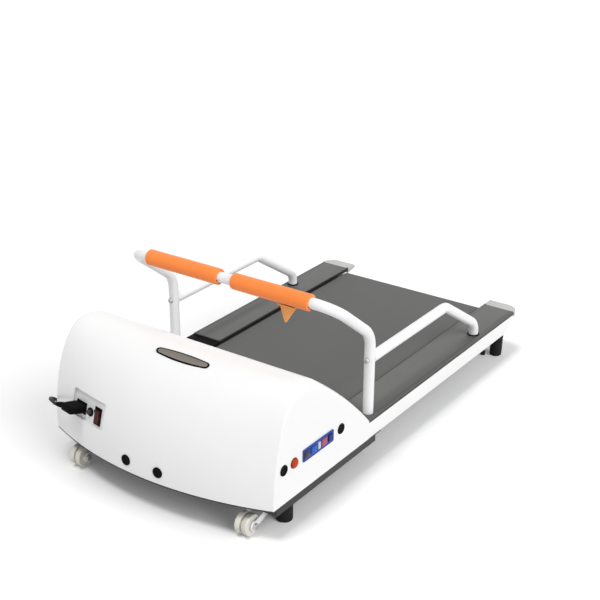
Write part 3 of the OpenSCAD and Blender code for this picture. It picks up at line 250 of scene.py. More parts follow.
def softenedCopy(node, width, segments=3):  # the node's own shape, with rounded edges
    piece = bpy.data.objects.new(node + "_finish", nodes[node].data.copy())
    scene.collection.objects.link(piece)
    pickOnly(piece)
    bpy.ops.object.mode_set(mode="EDIT")
    bpy.ops.mesh.select_all(action="SELECT")
    bpy.ops.mesh.remove_doubles(threshold=mergeGap)
    bpy.ops.mesh.dissolve_limited(angle_limit=radians(flatAngle))
    bpy.ops.object.mode_set(mode="OBJECT")
    roundEdges(piece, width, segments)
    return finishPiece(piece, bodyOf[node], slotOf[node], [node])


# materials, with pattern scales per metre and relief depths in millimetres
noiseEnds = (0.3, 0.7)  # most of a noise's values lie between these


def startSurface(name, values):
    material = bpy.data.materials.new(name)
    material.use_nodes = True
    tree = material.node_tree
    shader = tree.nodes["Principled BSDF"]
    for socket, value in values.items():
        shader.inputs[socket].default_value = value
    place = tree.nodes.new("ShaderNodeTexCoord").outputs["Object"]
    return material, tree, shader, place


def wire(tree, shader, colour, normal, roughness=None):
    tree.links.new(colour, shader.inputs["Base Color"])
    tree.links.new(normal, shader.inputs["Normal"])
    if roughness:
        tree.links.new(roughness, shader.inputs["Roughness"])


def stretched(tree, vector, scale):
    mapping = tree.nodes.new("ShaderNodeMapping")
    mapping.inputs["Scale"].default_value = scale
    tree.links.new(vector, mapping.inputs["Vector"])
    return mapping.outputs["Vector"]


def grain(tree, vector, scale, detail=3.0, rough=0.55):
    noise = tree.nodes.new("ShaderNodeTexNoise")
    noise.inputs["Scale"].default_value = scale
    noise.inputs["Detail"].default_value = detail
    noise.inputs["Roughness"].default_value = rough
    tree.links.new(vector, noise.inputs["Vector"])
    return noise.outputs["Fac"]


def cells(tree, vector, scale):
    voronoi = tree.nodes.new("ShaderNodeTexVoronoi")
    voronoi.inputs["Scale"].default_value = scale
    tree.links.new(vector, voronoi.inputs["Vector"])
    return voronoi.outputs["Distance"]


def stripes(tree, vector, scale, direction, distortion):
    wave = tree.nodes.new("ShaderNodeTexWave")
    wave.bands_direction = direction
    wave.inputs["Scale"].default_value = scale
    wave.inputs["Distortion"].default_value = distortion
    tree.links.new(vector, wave.inputs["Vector"])
    return wave.outputs["Fac"]


def tones(tree, factor, dark, light, ends=noiseEnds):
    ramp = tree.nodes.new("ShaderNodeValToRGB")
    for element, position, colour in zip(ramp.color_ramp.elements, ends, (dark, light)):
        element.position = position
        element.color = (*colour, 1)
    tree.links.new(factor, ramp.inputs["Fac"])
    return ramp.outputs["Color"]


def mapped(tree, value, given, wanted):  # two ends given become the two wanted
    span = tree.nodes.new("ShaderNodeMapRange")
    for socket, end in zip(("From Min", "From Max", "To Min", "To Max"), (*given, *wanted)):
        span.inputs[socket].default_value = end
    tree.links.new(value, span.inputs["Value"])
    return span.outputs["Result"]


def maths(tree, operation, *values):
    worked = tree.nodes.new("ShaderNodeMath")
    worked.operation = operation
    for socket, value in zip(worked.inputs, values):
        tree.links.new(value, socket)
    return worked.outputs[0]


def relief(tree, height, depth, strength, under=None):
    bump = tree.nodes.new("ShaderNodeBump")
    bump.inputs["Distance"].default_value = depth * mm
    bump.inputs["Strength"].default_value = strength
    tree.links.new(height, bump.inputs["Height"])
    if under is not None:
        tree.links.new(under, bump.inputs["Normal"])
    return bump.outputs["Normal"]


def shaded(colour, amount):
    return tuple(channel * amount for channel in colour)


def mouldedPlastic(name, colour, roughness, variation, grainScale, grainDepth, coat=0.0, gloss=0.5):
    material, tree, shader, place = startSurface(name, {
        "Roughness": roughness, "Specular IOR Level": gloss, "Coat Weight": coat, "Coat Roughness": 0.12})
    cloud = grain(tree, place, scale=9)
    rub = grain(tree, place, scale=35, detail=5)
    fine = grain(tree, place, grainScale, detail=2)
    wire(tree, shader,
         tones(tree, cloud, shaded(colour, 1 - variation), shaded(colour, 1 + variation / 2)),
         relief(tree, fine, grainDepth, strength=0.35),
         mapped(tree, rub, noiseEnds, (roughness * 0.93, min(1, roughness * 1.07))))
    return material


def paintedMetal(name, colour, roughness, variation=0.04):
    material, tree, shader, place = startSurface(name, {
        "Roughness": roughness, "Coat Weight": 0.15, "Coat Roughness": 0.15})
    cloud = grain(tree, place, scale=6)
    rub = grain(tree, place, scale=30, detail=4)
    peel = grain(tree, place, scale=420, detail=2)
    wire(tree, shader,
         tones(tree, cloud, shaded(colour, 1 - variation), colour),
         relief(tree, peel, depth=0.006, strength=0.15),
         mapped(tree, rub, noiseEnds, (roughness * 0.98, roughness * 1.02)))
    return material


def bareMetal(name, colour, roughness):
    material, tree, shader, place = startSurface(name, {"Roughness": roughness, "Metallic": 1.0})
    lines = grain(tree, stretched(tree, place, (1, 60, 60)), scale=60, detail=4)
    wire(tree, shader,
         tones(tree, lines, shaded(colour, 0.82), colour),
         relief(tree, lines, depth=0.03, strength=0.4),
         mapped(tree, lines, noiseEnds, (roughness * 0.75, roughness * 1.3)))
    return material


def rubberLike(name, colour, roughness, grainScale=700, grainDepth=0.12):
    material, tree, shader, place = startSurface(name, {"Roughness": roughness, "Specular IOR Level": 0.2})
    dustAndShade = grain(tree, place, scale=22, detail=6)
    pebble = cells(tree, place, grainScale)
    wire(tree, shader,
         tones(tree, dustAndShade, shaded(colour, 0.85), shaded(colour, 1.25)),
         relief(tree, pebble, grainDepth, strength=0.4),
         mapped(tree, dustAndShade, noiseEnds, (roughness * 0.9, min(1, roughness * 1.1))))
    return material


def beltRubber(name, colour):  # a pebbled face on a woven carrier
    material, tree, shader, place = startSurface(name, {"Roughness": 0.62, "Specular IOR Level": 0.25})
    tread = cells(tree, place, scale=420)
    wear = grain(tree, stretched(tree, place, (9, 1.2, 4)), scale=2.2, detail=5)
    weave = stripes(tree, place, scale=160, direction="X", distortion=0.6)
    woven = relief(tree, weave, depth=0.05, strength=0.25)
    wire(tree, shader,
         tones(tree, wear, shaded(colour, 0.93), shaded(colour, 1.06)),
         relief(tree, tread, depth=0.25, strength=0.45, under=woven),
         mapped(tree, wear, noiseEnds, (0.54, 0.7)))
    return material


# painted shade on the grey rails: near black on the inner sides where the gap beside the belt lies in shade,
# and darker tones on the side lip and the rounded outer edge
railPaintedShade = {"innerX": (196.6, 198.4), "innerTone": 0.12, "lipZ": (111.5, 114.2), "lipTone": 0.55,
             "edgeX": (265, 263.5), "edgeTone": 0.74}


def paintedShadeMask(tree, value, part):  # the tone at the first end and past it, 1 from the second on
    ends, tone = part
    return mapped(tree, value, (ends[0] * mm, ends[1] * mm), (tone, 1.0))


def pebbledRail(name, colour):  # painted shade: near black on its inner side, where the gap beside the belt lies in shade, and darker on its side lip and outer edge, which face away from the light
    material, tree, shader, place = startSurface(name, {"Roughness": 0.55, "Specular IOR Level": 0.25})
    scuff = grain(tree, stretched(tree, place, (6, 1, 6)), scale=8, detail=6)
    parts = tree.nodes.new("ShaderNodeSeparateXYZ")
    tree.links.new(place, parts.inputs["Vector"])
    aside = maths(tree, "ABSOLUTE", parts.outputs["X"])
    inner = paintedShadeMask(tree, aside, (railPaintedShade["innerX"], railPaintedShade["innerTone"]))
    edge = paintedShadeMask(tree, aside, (railPaintedShade["edgeX"], railPaintedShade["edgeTone"]))
    lip = paintedShadeMask(tree, parts.outputs["Z"], (railPaintedShade["lipZ"], railPaintedShade["lipTone"]))
    outer = maths(tree, "MULTIPLY", edge, lip)
    # painted shade: the masks blend the scuffed rail colour towards black
    dustAndShade = tree.nodes.new("ShaderNodeMix")
    dustAndShade.data_type = "RGBA"
    dustAndShade.inputs["A"].default_value = (0, 0, 0, 1)
    tree.links.new(maths(tree, "MULTIPLY", inner, outer), dustAndShade.inputs["Factor"])
    tree.links.new(tones(tree, scuff, shaded(colour, 0.93), shaded(colour, 1.05)), dustAndShade.inputs["B"])
    wire(tree, shader,
         dustAndShade.outputs["Result"],
         relief(tree, cells(tree, place, scale=650), depth=0.12, strength=0.4),
         mapped(tree, scuff, noiseEnds, (0.48, 0.64)))
    return material


def openFoam(name, colour):
    material, tree, shader, place = startSurface(name, {
        "Roughness": 0.85, "Sheen Weight": 0.25, "Sheen Roughness": 0.5})
    pores = cells(tree, place, scale=900)
    soft = relief(tree, grain(tree, place, scale=60, detail=4), depth=0.6, strength=0.35)
    wire(tree, shader,
         tones(tree, pores, shaded(colour, 0.78), colour, ends=(0.05, 0.4)),
         relief(tree, pores, depth=0.3, strength=0.6, under=soft))
    return material


def wovenStrap(name, colour):
    material, tree, shader, place = startSurface(name, {"Roughness": 0.8, "Sheen Weight": 0.3})
    across = stripes(tree, place, scale=330, direction="X", distortion=0.4)
    along = stripes(tree, place, scale=330, direction="Z", distortion=0.4)
    warp = relief(tree, across, depth=0.2, strength=0.6)
    wire(tree, shader,
         tones(tree, across, shaded(colour, 0.88), colour, ends=(0.1, 0.7)),
         relief(tree, along, depth=0.2, strength=0.6, under=warp))
    return material


def layeredWood(name, colour):
    material, tree, shader, place = startSurface(name, {"Roughness": 0.7})
    rings = stripes(tree, stretched(tree, place, (1, 12, 12)), scale=6, direction="X", distortion=5)
    wire(tree, shader,
         tones(tree, rings, shaded(colour, 0.7), colour),
         relief(tree, rings, depth=0.1, strength=0.4))
    return material


def circuitBoard(name, colour):
    material, tree, shader, place = startSurface(name, {"Roughness": 0.4})
    tracks = cells(tree, place, scale=180)
    wire(tree, shader,
         tones(tree, tracks, shaded(colour, 1.8), colour, ends=(0.12, 0.2)),
         relief(tree, tracks, depth=0.1, strength=0.3))
    return material


# a moulded plastic gives its colour, roughness, variation of tone, grain scale, grain depth, coat and gloss
surfaces = {
    "white_shell": mouldedPlastic("whiteShell", (0.85, 0.855, 0.85), 0.32, 0.012, 900, 0.015, 0.2),
    "white_paint": paintedMetal("whitePaint", (0.85, 0.855, 0.86), 0.28, 0.012),
    "grey_paint": paintedMetal("greyPaint", (0.45, 0.46, 0.47), 0.4),
    "grey_plastic": pebbledRail("greyRail", (0.130, 0.130, 0.127)),
    "cap_grey": mouldedPlastic("capGrey", (0.5, 0.5, 0.49), 0.5, 0.03, 700, 0.06, 0.0, 0.3),
    "dark_plastic": mouldedPlastic("darkPlastic", (0.045, 0.045, 0.046), 0.6, 0.12, 600, 0.1, 0.0, 0.3),
    "black_plastic": mouldedPlastic("blackPlastic", (0.006, 0.006, 0.006), 0.5, 0.2, 800, 0.05, 0.0, 0.02),
    "black_rubber": rubberLike("blackRubber", (0.01, 0.01, 0.01), 0.75),
    "belt_rubber": beltRubber("beltFace", (0.108, 0.108, 0.106)),
    "deck_wood": layeredWood("coatedDeck", (0.012, 0.011, 0.010)),
    "steel": bareMetal("zincSteel", (0.6, 0.6, 0.61), 0.32),
    "alloy": bareMetal("satinAlloy", (0.52, 0.50, 0.46), 0.38),
    "motor_paint": paintedMetal("motorPaint", (0.035, 0.035, 0.04), 0.4),
    "board_green": circuitBoard("boardGreen", (0.02, 0.12, 0.05)),
    "orange_foam": openFoam("orangeFoam", (1.0, 0.25, 0.038)),
    "orange_strap": wovenStrap("orangeStrap", (1.0, 0.43, 0.11)),
    "panel_blue": mouldedPlastic("panelBlue", (0.008, 0.05, 0.34), 0.35, 0.08, 900, 0.03, 0.08, 0.2),
    "key_blue": mouldedPlastic("keyBlue", (0.012, 0.085, 0.42), 0.35, 0.06, 900, 0.03, 0.05, 0.2),
    "key_white": mouldedPlastic("keyWhite", (0.5, 0.56, 0.66), 0.35, 0.03, 900, 0.03, 0.05, 0.2),
    "key_red": mouldedPlastic("keyRed", (0.36, 0.075, 0.13), 0.35, 0.06, 900, 0.03, 0.05, 0.2),
    "key_dark": mouldedPlastic("keyDark", (0.006, 0.016, 0.1), 0.35, 0.08, 900, 0.03, 0.05, 0.15),
    "stop_red": mouldedPlastic("stopRed", (0.52, 0.04, 0.004), 0.35, 0.06, 900, 0.03, 0.0, 0.1),
    "switch_red": mouldedPlastic("switchRed", (0.06, 0.012, 0.006), 0.4, 0.1, 900, 0.03, 0.0, 0.1),
    "wheel_cream": mouldedPlastic("wheelCream", (0.72, 0.70, 0.63), 0.42, 0.05, 700, 0.06),
    "cord_black": rubberLike("cordJacket", (0.008, 0.008, 0.008), 0.5, 1400, 0.05),
}
displayGlass = mouldedPlastic("displayGlass", (0.02, 0.012, 0.05), 0.2, 0.2, 900, 0.01, 0.05, 0.2)
badgeMetal = bareMetal("badgeMetal", (0.23, 0.21, 0.185), 0.45)
for nodeName, nodeObject in nodes.items():
    paint(nodeObject, surfaces[slotOf[nodeName]])
print("materials:", len(surfaces))


# hood surface: a bowed front, a round ridge and a long rear face
hood = {
    "halfWidth": 275, "frontY": -530, "rearY": -150, "bow": 52, "cornerY": -478, "ridgeY": -380,
    "bottomZ": 72, "topZ": 295, "railZ": 115, "liftOverRail": 0.2, "ridgeRadius": 85,
    "breakAngle": radians(36), "wall": 3, "leastWall": 1.5, "wallShare": 0.45,
    "shoulder": 22, "rearShoulder": 7, "leastShoulder": 0.6, "shoulderCurve": 2.6,
    "rows": (30, 10, 16), "lowestRow": 0.002, "loftColumns": 36, "roundColumns": 8, "wallColumns": 5,
    "slotX": 196, "slotY": (-230, -140), "slotZ": (60, 120),
    "inletX": -160, "inletZ": 159, "inletLength": 104, "inletHeight": 56, "inletRound": 5, "inletReach": 40,
}
bowRadius = (hood["halfWidth"] ** 2 + hood["bow"] ** 2) / (2 * hood["bow"])
bowCentreY = hood["frontY"] + bowRadius
hoodRise = hood["topZ"] - hood["bottomZ"]
breakSin, breakCos = sin(hood["breakAngle"]), cos(hood["breakAngle"])
kneeY = hood["ridgeY"] + hood["ridgeRadius"] * breakSin
kneeZ = hood["topZ"] - hood["ridgeRadius"] * (1 - breakCos)
rearZ = hood["railZ"] + hood["liftOverRail"]
rearRun, rearDrop = hood["rearY"] - kneeY, rearZ - kneeZ
rearRadius = -(rearRun ** 2 + rearDrop ** 2) / (2 * (rearRun * breakSin + rearDrop * breakCos))
rearCentreY, rearCentreZ = kneeY - rearRadius * breakSin, kneeZ - rearRadius * breakCos
rearEnd = atan2(hood["rearY"] - rearCentreY, rearZ - rearCentreZ)


def frontReach(x):
    return hood["ridgeY"] - bowCentreY + sqrt(bowRadius ** 2 - x * x)


def hoodPoint(x, s):  # s runs 0 to 1 up the front, 1 to 2 over the ridge and 2 to 3 down the rear
    if s <= 1:
        angle = s * pi / 2
        return Vector((x, hood["ridgeY"] - frontReach(x) * cos(angle),
                       hood["bottomZ"] + hoodRise * sin(angle)))
    if s <= 2:
        angle = (s - 1) * hood["breakAngle"]
        return Vector((x, hood["ridgeY"] + hood["ridgeRadius"] * sin(angle),
                       hood["topZ"] - hood["ridgeRadius"] * (1 - cos(angle))))
    angle = hood["breakAngle"] + (rearEnd - hood["breakAngle"]) * (s - 2)
    return Vector((x, rearCentreY + rearRadius * sin(angle), rearCentreZ + rearRadius * cos(angle)))


def frontFrame(x, z):  # a frame on the front face: X along it, -Y outward, Z up it
    angle = asin((z - hood["bottomZ"]) / hoodRise)
    yaw = atan(x / sqrt(bowRadius ** 2 - x * x) * cos(angle))
    lean = atan(frontReach(x) * tan(angle) / hoodRise)
    spot = hoodPoint(x, angle / (pi / 2)) * mm
    return Matrix.Translation(spot) @ Matrix.Rotation(yaw, 4, "Z") @ Matrix.Rotation(-lean, 4, "X")


def moveToInlet(obj):  # from its own frame to the inlet's place on the front face
    obj.matrix_world = frontFrame(hood["inletX"], hood["inletZ"])
    settle(obj)


def inletOpening():  # what the inlet's opening cuts away, in its own frame
    half = (hood["inletLength"] / 2, hood["inletReach"], hood["inletHeight"] / 2)
    opening = addBlock("inletOpening", [-reach for reach in half], half)
    roundEdges(opening, hood["inletRound"], segments=4)
    return opening


def shoulderWidth(s, wallLength):
    if s <= 1:
        width = hood["shoulder"] * s ** hood["shoulderCurve"]
    elif s <= 2:
        width = hood["shoulder"]
    else:
        width = hood["shoulder"] + (hood["rearShoulder"] - hood["shoulder"]) * (s - 2)
    return max(hood["leastShoulder"], min(width, wallLength * hood["wallShare"]))


def hoodRow(s):  # across the hood, from the foot of one side wall to the foot of the other
    edge = hoodPoint(hood["halfWidth"], s)
    footY = hood["cornerY"] + (hood["rearY"] - hood["cornerY"]) * (s / 3)
    foot = Vector((hood["halfWidth"], footY, hood["bottomZ"]))
    wallRun = foot - edge
    width = shoulderWidth(s, max(wallRun.length, hood["leastWall"]))
    wallStart = edge + wallRun.normalized() * min(width, wallRun.length * hood["wallShare"])
    wallColumns, loftColumns = hood["wallColumns"], hood["loftColumns"]
    half = [wallStart + (foot - wallStart) * (1 - i / wallColumns) for i in range(wallColumns)]
    innerX = hood["halfWidth"] - width
    loftStart = hoodPoint(innerX, s)
    for i in range(hood["roundColumns"]):
        t = i / hood["roundColumns"]
        half.append(wallStart * (1 - t) ** 2 + edge * 2 * t * (1 - t) + loftStart * t * t)
    middle = [hoodPoint(innerX * (1 - 2 * i / loftColumns), s) for i in range(loftColumns + 1)]
    mirrored = [Vector((-p.x, p.y, p.z)) for p in reversed(half)]
    return half + middle + mirrored


def makeHood():
    points = [hoodRow(hood["lowestRow"])]
    for part, count in enumerate(hood["rows"]):
        points += [hoodRow(part + i / count) for i in range(1, count + 1)]
    across = len(points[0])
    bpy.ops.object.select_all(action="DESELECT")
    bpy.ops.mesh.primitive_grid_add(x_subdivisions=across - 1, y_subdivisions=len(points) - 1, size=1)
    shell = bpy.context.object
    shell.name = "hoodShell"
    for vertex in shell.data.vertices:
        row, column = divmod(vertex.index, across)
        vertex.co = points[row][column] * mm
    fixNormals(shell)
    giveWall(shell, hood["wall"])
    opening = inletOpening()
    moveToInlet(opening)
    cutAway(shell, opening)
    slotLow, slotHigh = zip((-hood["slotX"], hood["slotX"]), hood["slotY"], hood["slotZ"])
    cutAway(shell, addBlock("beltSlot", slotLow, slotHigh))
    return finishPiece(shell, "chassis", "white_shell", ["hood"], degrees=32)


print("hood:", len(makeHood().data.polygons), "faces")


# bent tubes: the handlebar, and a side rail from each upright to its rear foot
rails = {
    "tubeRadius": 11, "tubeSides": 40, "bendSteps": 14, "uprightX": 254, "uprightY": -123, "footZ": 76,
    "elbowZ": 290, "barY": -253, "barZ": 390, "elbowRadius": 55, "cornerRadius": 45, "sideStart": 6,
    "sideZ": 236, "bendY": 185, "footY": 332, "lowZ": 142, "upperRadius": 40, "lowerRadius": 35,
}


def bentPath(corners, radii):  # straight runs joined by round bends
    corners = [Vector(corner) for corner in corners]
    path = [corners[0]]
    for previous, corner, following, radius in zip(corners, corners[1:], corners[2:], radii):
        before = (previous - corner).normalized()
        after = (following - corner).normalized()
        half = before.angle(after) / 2
        reach = radius / tan(half)
        centre = corner + (before + after).normalized() * radius / sin(half)
        start = corner + before * reach - centre
        spin = start.cross(corner + after * reach - centre).normalized()
        for step in range(rails["bendSteps"] + 1):
            turn = (pi - 2 * half) * step / rails["bendSteps"]
            path.append(centre + Matrix.Rotation(turn, 3, spin) @ start)
    return path + [corners[-1]]


def sweptCurve(name, path, radius, resolution):
    data = bpy.data.curves.new(name, "CURVE")
    data.dimensions = "3D"
    data.bevel_depth = radius * mm
    data.bevel_resolution = resolution
    data.use_fill_caps = True
    spline = data.splines.new("POLY")
    spline.points.add(len(path) - 1)
    for point, place in zip(spline.points, path):
        point.co = (*(Vector(place) * mm), 1)
    made = bpy.data.objects.new(name, data)
    scene.collection.objects.link(made)
    return made


def makeTube(name, corners, radii, replaced):
    pickOnly(sweptCurve(name, bentPath(corners, radii), rails["tubeRadius"], rails["tubeSides"] // 4))
    bpy.ops.object.convert(target="MESH")
    tube = bpy.context.object
    fixNormals(tube)
    finishPiece(tube, "chassis", "white_paint", [replaced])


def makeRails():
    x, y = rails["uprightX"], rails["uprightY"]
    rightArm = [(x, y, rails["footZ"]), (x, y, rails["elbowZ"]), (x, rails["barY"], rails["barZ"])]
    leftArm = [(-x, y, z) for x, y, z in reversed(rightArm)]
    armRadii = [rails["elbowRadius"], rails["cornerRadius"]]
    makeTube("handlebarTube", rightArm + leftArm, armRadii + armRadii[::-1], "handlebar")
    sideRun = [(y + rails["sideStart"], rails["sideZ"]), (rails["bendY"], rails["sideZ"]),
               (rails["footY"], rails["lowZ"]), (rails["footY"], rails["footZ"])]
    sideRadii = [rails["upperRadius"], rails["lowerRadius"]]
    for side, sideName in bothSides:
        corners = [(side * x, *spot) for spot in sideRun]
        makeTube(sideName + "SideTube", corners, sideRadii, sideName + "_side_rail")


makeRails()
print("tubes done")


# foam grips, each a sleeve with rolled ends and a slightly uneven skin
grip = {"innerX": 17, "outerX": 201, "radius": 17, "bore": 11.1, "boreSpare": 5, "sides": 56, "endRound": 4.5,
        "endSteps": 5, "wallTilt": 0.2, "cuts": 5, "lump": 0.35, "lumpSize": 30}


def gripRod(name, side, radius, spare=0):
    ends = (side * (grip["innerX"] - spare), side * (grip["outerX"] + spare))
    return addRod(name, radius, *((x, rails["barY"], rails["barZ"]) for x in ends), grip["sides"])


def makeGrip(side, sideName):
    sleeve = gripRod(sideName + "FoamGrip", side, grip["radius"] - grip["lump"])
    cutAway(sleeve, gripRod("gripBore", side, grip["bore"], grip["boreSpare"]))
    roundEdges(sleeve, grip["endRound"], grip["endSteps"], degrees=50)
    selectFaces(sleeve, lambda normal: abs(normal.x) < grip["wallTilt"])
    bpy.ops.mesh.subdivide(number_cuts=grip["cuts"])
    bpy.ops.object.mode_set(mode="OBJECT")
    cloud = bpy.data.textures.new(sideName + "FoamCloud", "CLOUDS")
    cloud.noise_scale = grip["lumpSize"] * mm
    wobble = sleeve.modifiers.new("uneven", "DISPLACE")
    wobble.texture = cloud
    wobble.strength = grip["lump"] * 2 * mm
    wobble.mid_level = 0.5
    applyAll(sleeve)
    finishPiece(sleeve, "chassis", "orange_foam", [sideName + "_grip"], degrees=60)


for side, sideName in bothSides:
    makeGrip(side, sideName)
print("grips done")


# mains lead: the free stretch, then a coil of two layers beside the machine
cord = {
    "diameter": 7, "start": (-233.669, -512.669, 151.262), "heading": (-0.96304, 0.132408, -0.234569),
    "corner": (-275, -478, 0), "coilCentre": (-356, -262), "innerRadius": 31, "turns": 2.25, "pitch": 8.5,
    "layerZ": 3.6, "stepsPerTurn": 24, "straight": 8.4, "tail": 41.125, "resolution": 6,
}
# places of the free stretch, from the hood's front left corner
cordSteps = [(19, -28, 149), (6, -20, 145), (-6, -8, 138), (-14, 7, 128), (-18, 24, 114), (-20, 42, 98),
             (-21, 61, 80), (-22, 80, 62), (-24, 100, 44), (-26, 121, 27), (-28, 144, 13), (-30, 168, 6)]


def coilPoint(step):  # inwards on the floor, up in half a turn, then outwards on top
    half = cord["turns"] * cord["stepsPerTurn"]
    climb = cord["stepsPerTurn"] / 2
    outer = cord["innerRadius"] + cord["turns"] * cord["pitch"]
    if step <= half:
        radius = outer - cord["pitch"] * step / cord["stepsPerTurn"]
    else:
        radius = cord["innerRadius"] + cord["pitch"] * max(0, step - half - climb) / cord["stepsPerTurn"]
    angle = 2 * pi * step / cord["stepsPerTurn"]
    lift = cord["pitch"] * max(0, min(1, (step - half) / climb))
    x, y = cord["coilCentre"]
    return Vector((x + radius * cos(angle), y + radius * sin(angle), cord["layerZ"] + lift))


def makeCord():
    start = Vector(cord["start"])
    coilSteps = int(2 * cord["turns"] * cord["stepsPerTurn"] + cord["stepsPerTurn"] / 2)
    coilIn = coilPoint(0) - Vector((0, cord["diameter"], 0))
    path = [start, start + Vector(cord["heading"]) * cord["straight"]]
    path += [Vector(cord["corner"]) + Vector(step) for step in cordSteps]
    path += [coilIn - Vector((0, cord["straight"], 0)), coilIn]
    path += [coilPoint(step) for step in range(coilSteps + 1)]
    path.append(path[-1] + Vector((0, cord["tail"], 0)))
    lead = sweptCurve("mainsLead", path, cord["diameter"] / 2, cord["resolution"])
    lead.data.materials.append(surfaces["cord_black"])
    length = sum((b - a).length for a, b in zip(path, path[1:])) * mm
    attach(lead, "chassis")
    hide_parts("mains_cord", "cord_coil")
    return lead, length


mainsLead, leadLength = makeCord()
wallPlug = softenedCopy("wall_plug", width=3.5, segments=4)


# right-angle connector: a rounded body with grip ribs and a ringed strain relief
connector = {
    "x": -29, "z": -7, "halfWidth": 18, "halfHeight": 9, "front": -32, "back": 5.7, "taper": (0.94, 1, 0.92),
    "round": 4.6, "ribs": 4, "ribStart": 9, "ribStep": 4.4, "ribWidth": 2, "ribHalf": 11, "ribProud": 0.5,
    "ribRound": 0.8, "noseHalf": (11.7, 7.7), "noseY": (4.7, 22), "noseRound": 1.5, "reliefLength": 24,
    "relief": [(6.5, -3), (6.5, 1.5), (5.6, 2), (5.6, 3.2), (6.3, 3.7), (6.3, 6.2), (5.4, 6.7), (5.4, 7.9),
               (6, 8.4), (6, 10.9), (5.1, 11.4), (5.1, 12.6), (5.6, 13.1), (5.6, 15.6), (4.8, 16.1),
               (4.8, 17.3), (5.2, 17.8), (5.2, 20.3), (4.7, 20.8), (4.6, 24)],
}


def connectorBlock(name, halfWidth, halfHeight, front, back):
    x, z = connector["x"], connector["z"]
    return addBlock(name, (x - halfWidth, front, z - halfHeight), (x + halfWidth, back, z + halfHeight))


def makeConnector():
    front, back = connector["front"], connector["back"]
    body = connectorBlock("mainsConnector", connector["halfWidth"], connector["halfHeight"], front, back)
    selectFaces(body, lambda normal: normal.y < -facing)
    frontMiddle = [connector[axis] * mm for axis in ("x", "front", "z")]
    bpy.ops.transform.resize(value=connector["taper"], center_override=frontMiddle)
    bpy.ops.object.mode_set(mode="OBJECT")
    roundEdges(body, connector["round"], segments=6)
    pieces = [body]
    for i in range(connector["ribs"]):
        y = front + connector["ribStart"] + i * connector["ribStep"]
        share = (y - back) / (front - back)
        reach = connector["halfHeight"] * (1 - (1 - connector["taper"][2]) * share) + connector["ribProud"]
        rib = connectorBlock("gripRib", connector["ribHalf"], reach, y, y + connector["ribWidth"])
        roundEdges(rib, connector["ribRound"])
        pieces.append(rib)
    nose = connectorBlock("connectorNose", *connector["noseHalf"], *connector["noseY"])
    roundEdges(nose, connector["noseRound"])
    joinAll("mainsConnector", pieces + [nose])
    moveToInlet(body)
    heading = Vector(cord["heading"])
    reliefPlace = Vector(cord["start"]) - heading * connector["reliefLength"]
    boot = turned("strainRelief", connector["relief"], reliefPlace, heading, sides=40)
    joinAll("mainsConnector", [body, boot])
    finishPiece(body, "chassis", "black_plastic", ["mains_connector"], degrees=40)


# strap that holds the coil's turns together, with its loose end lapped on top
tie = {"width": 9, "innerY": (26.5, 52.5), "low": 0.9, "high": 15.9, "thickness": 1.1, "corner": 5,
       "lapY": (34, 50), "lapThickness": 0.9, "lapSunk": 0.1, "edge": 0.3}


def tieCorners(half, near, far, low, high):  # across the turns on the coil's far side
    x, y = cord["coilCentre"]
    return (x - half, y + near, low), (x + half, y + far, high)


def makeTie():
    half, thick = tie["width"] / 2, tie["thickness"]
    near, far = tie["innerY"]
    top = tie["high"] + thick
    outside = tieCorners(half, near - thick, far + thick, 0, top)
    inside = tieCorners(2 * half, near, far, tie["low"], tie["high"])
    onTop = tieCorners(half, *tie["lapY"], top - tie["lapSunk"], top + tie["lapThickness"])
    band = squaredPlate("coilTie", *outside, tie["corner"] + thick, segments=6)
    cutAway(band, squaredPlate("tieCut", *inside, tie["corner"], segments=6))
    lap = addBlock("tieLap", *onTop)
    joinAll("coilTie", [band, lap])
    roundEdges(band, tie["edge"], segments=2)
    return finishPiece(band, "chassis", "black_rubber", degrees=40)


makeConnector()
coilTie = makeTie()
print("mains lead:", round(leadLength, 3), "m")


# rigid pieces whose CAD shape is right and whose edges are rounded
roundings = {
    "left_side_cover": 1.2, "right_side_cover": 1.2, "left_foot_rail": 0.7, "right_foot_rail": 0.7,
    "left_rail_front_plate": 0.6, "rear_end_caps": 1.6, "running_belt": 0.4, "base_pan": 1.5,
    "inlet_plate": 0.4, "mains_inlet": 0.5, "breaker_body": 0.5, "breaker_button": 0.8,
    "switch_housing": 0.6, "rocker_switch": 0.7, "rail_collars": 0.9, "wheel_brackets": 0.7,
    "wheel_axles": 0.6,
}
for nodeName, width in roundings.items():
    softenedCopy(nodeName, width)
print("rounded pieces:", len(roundings))


# black plugs in the hood, each a dished head on its stem
plug = {"frontX": 40, "frontZ": 97, "sideY": (-446, -256), "sideZ": 145, "gap": 0.1, "rings": [
    (8.2, -6), (8.2, 0), (11, 0), (11, 1.1), (10.6, 1.7), (9.4, 2), (8.6, 1.9), (7.6, 1.3), (2, 1.2)]}


def makePlugs():
    plugs = []
    for x in (-plug["frontX"], plug["frontX"]):
        spot = frontFrame(x, plug["frontZ"])
        outward = spot.to_3x3() @ Vector((0, -1, 0))
        place = spot.translation / mm + outward * plug["gap"]
        plugs.append(turned("hoodPlug", plug["rings"], place, outward))
    for side in (-1, 1):
        for y in plug["sideY"]:
            place = (side * hood["halfWidth"], y, plug["sideZ"])
            plugs.append(turned("hoodPlug", plug["rings"], place, (side, 0, 0)))
    finishPiece(joinAll("hoodHolePlugs", plugs), "chassis", "black_plastic", ["hood_plugs"], degrees=40)


makePlugs()


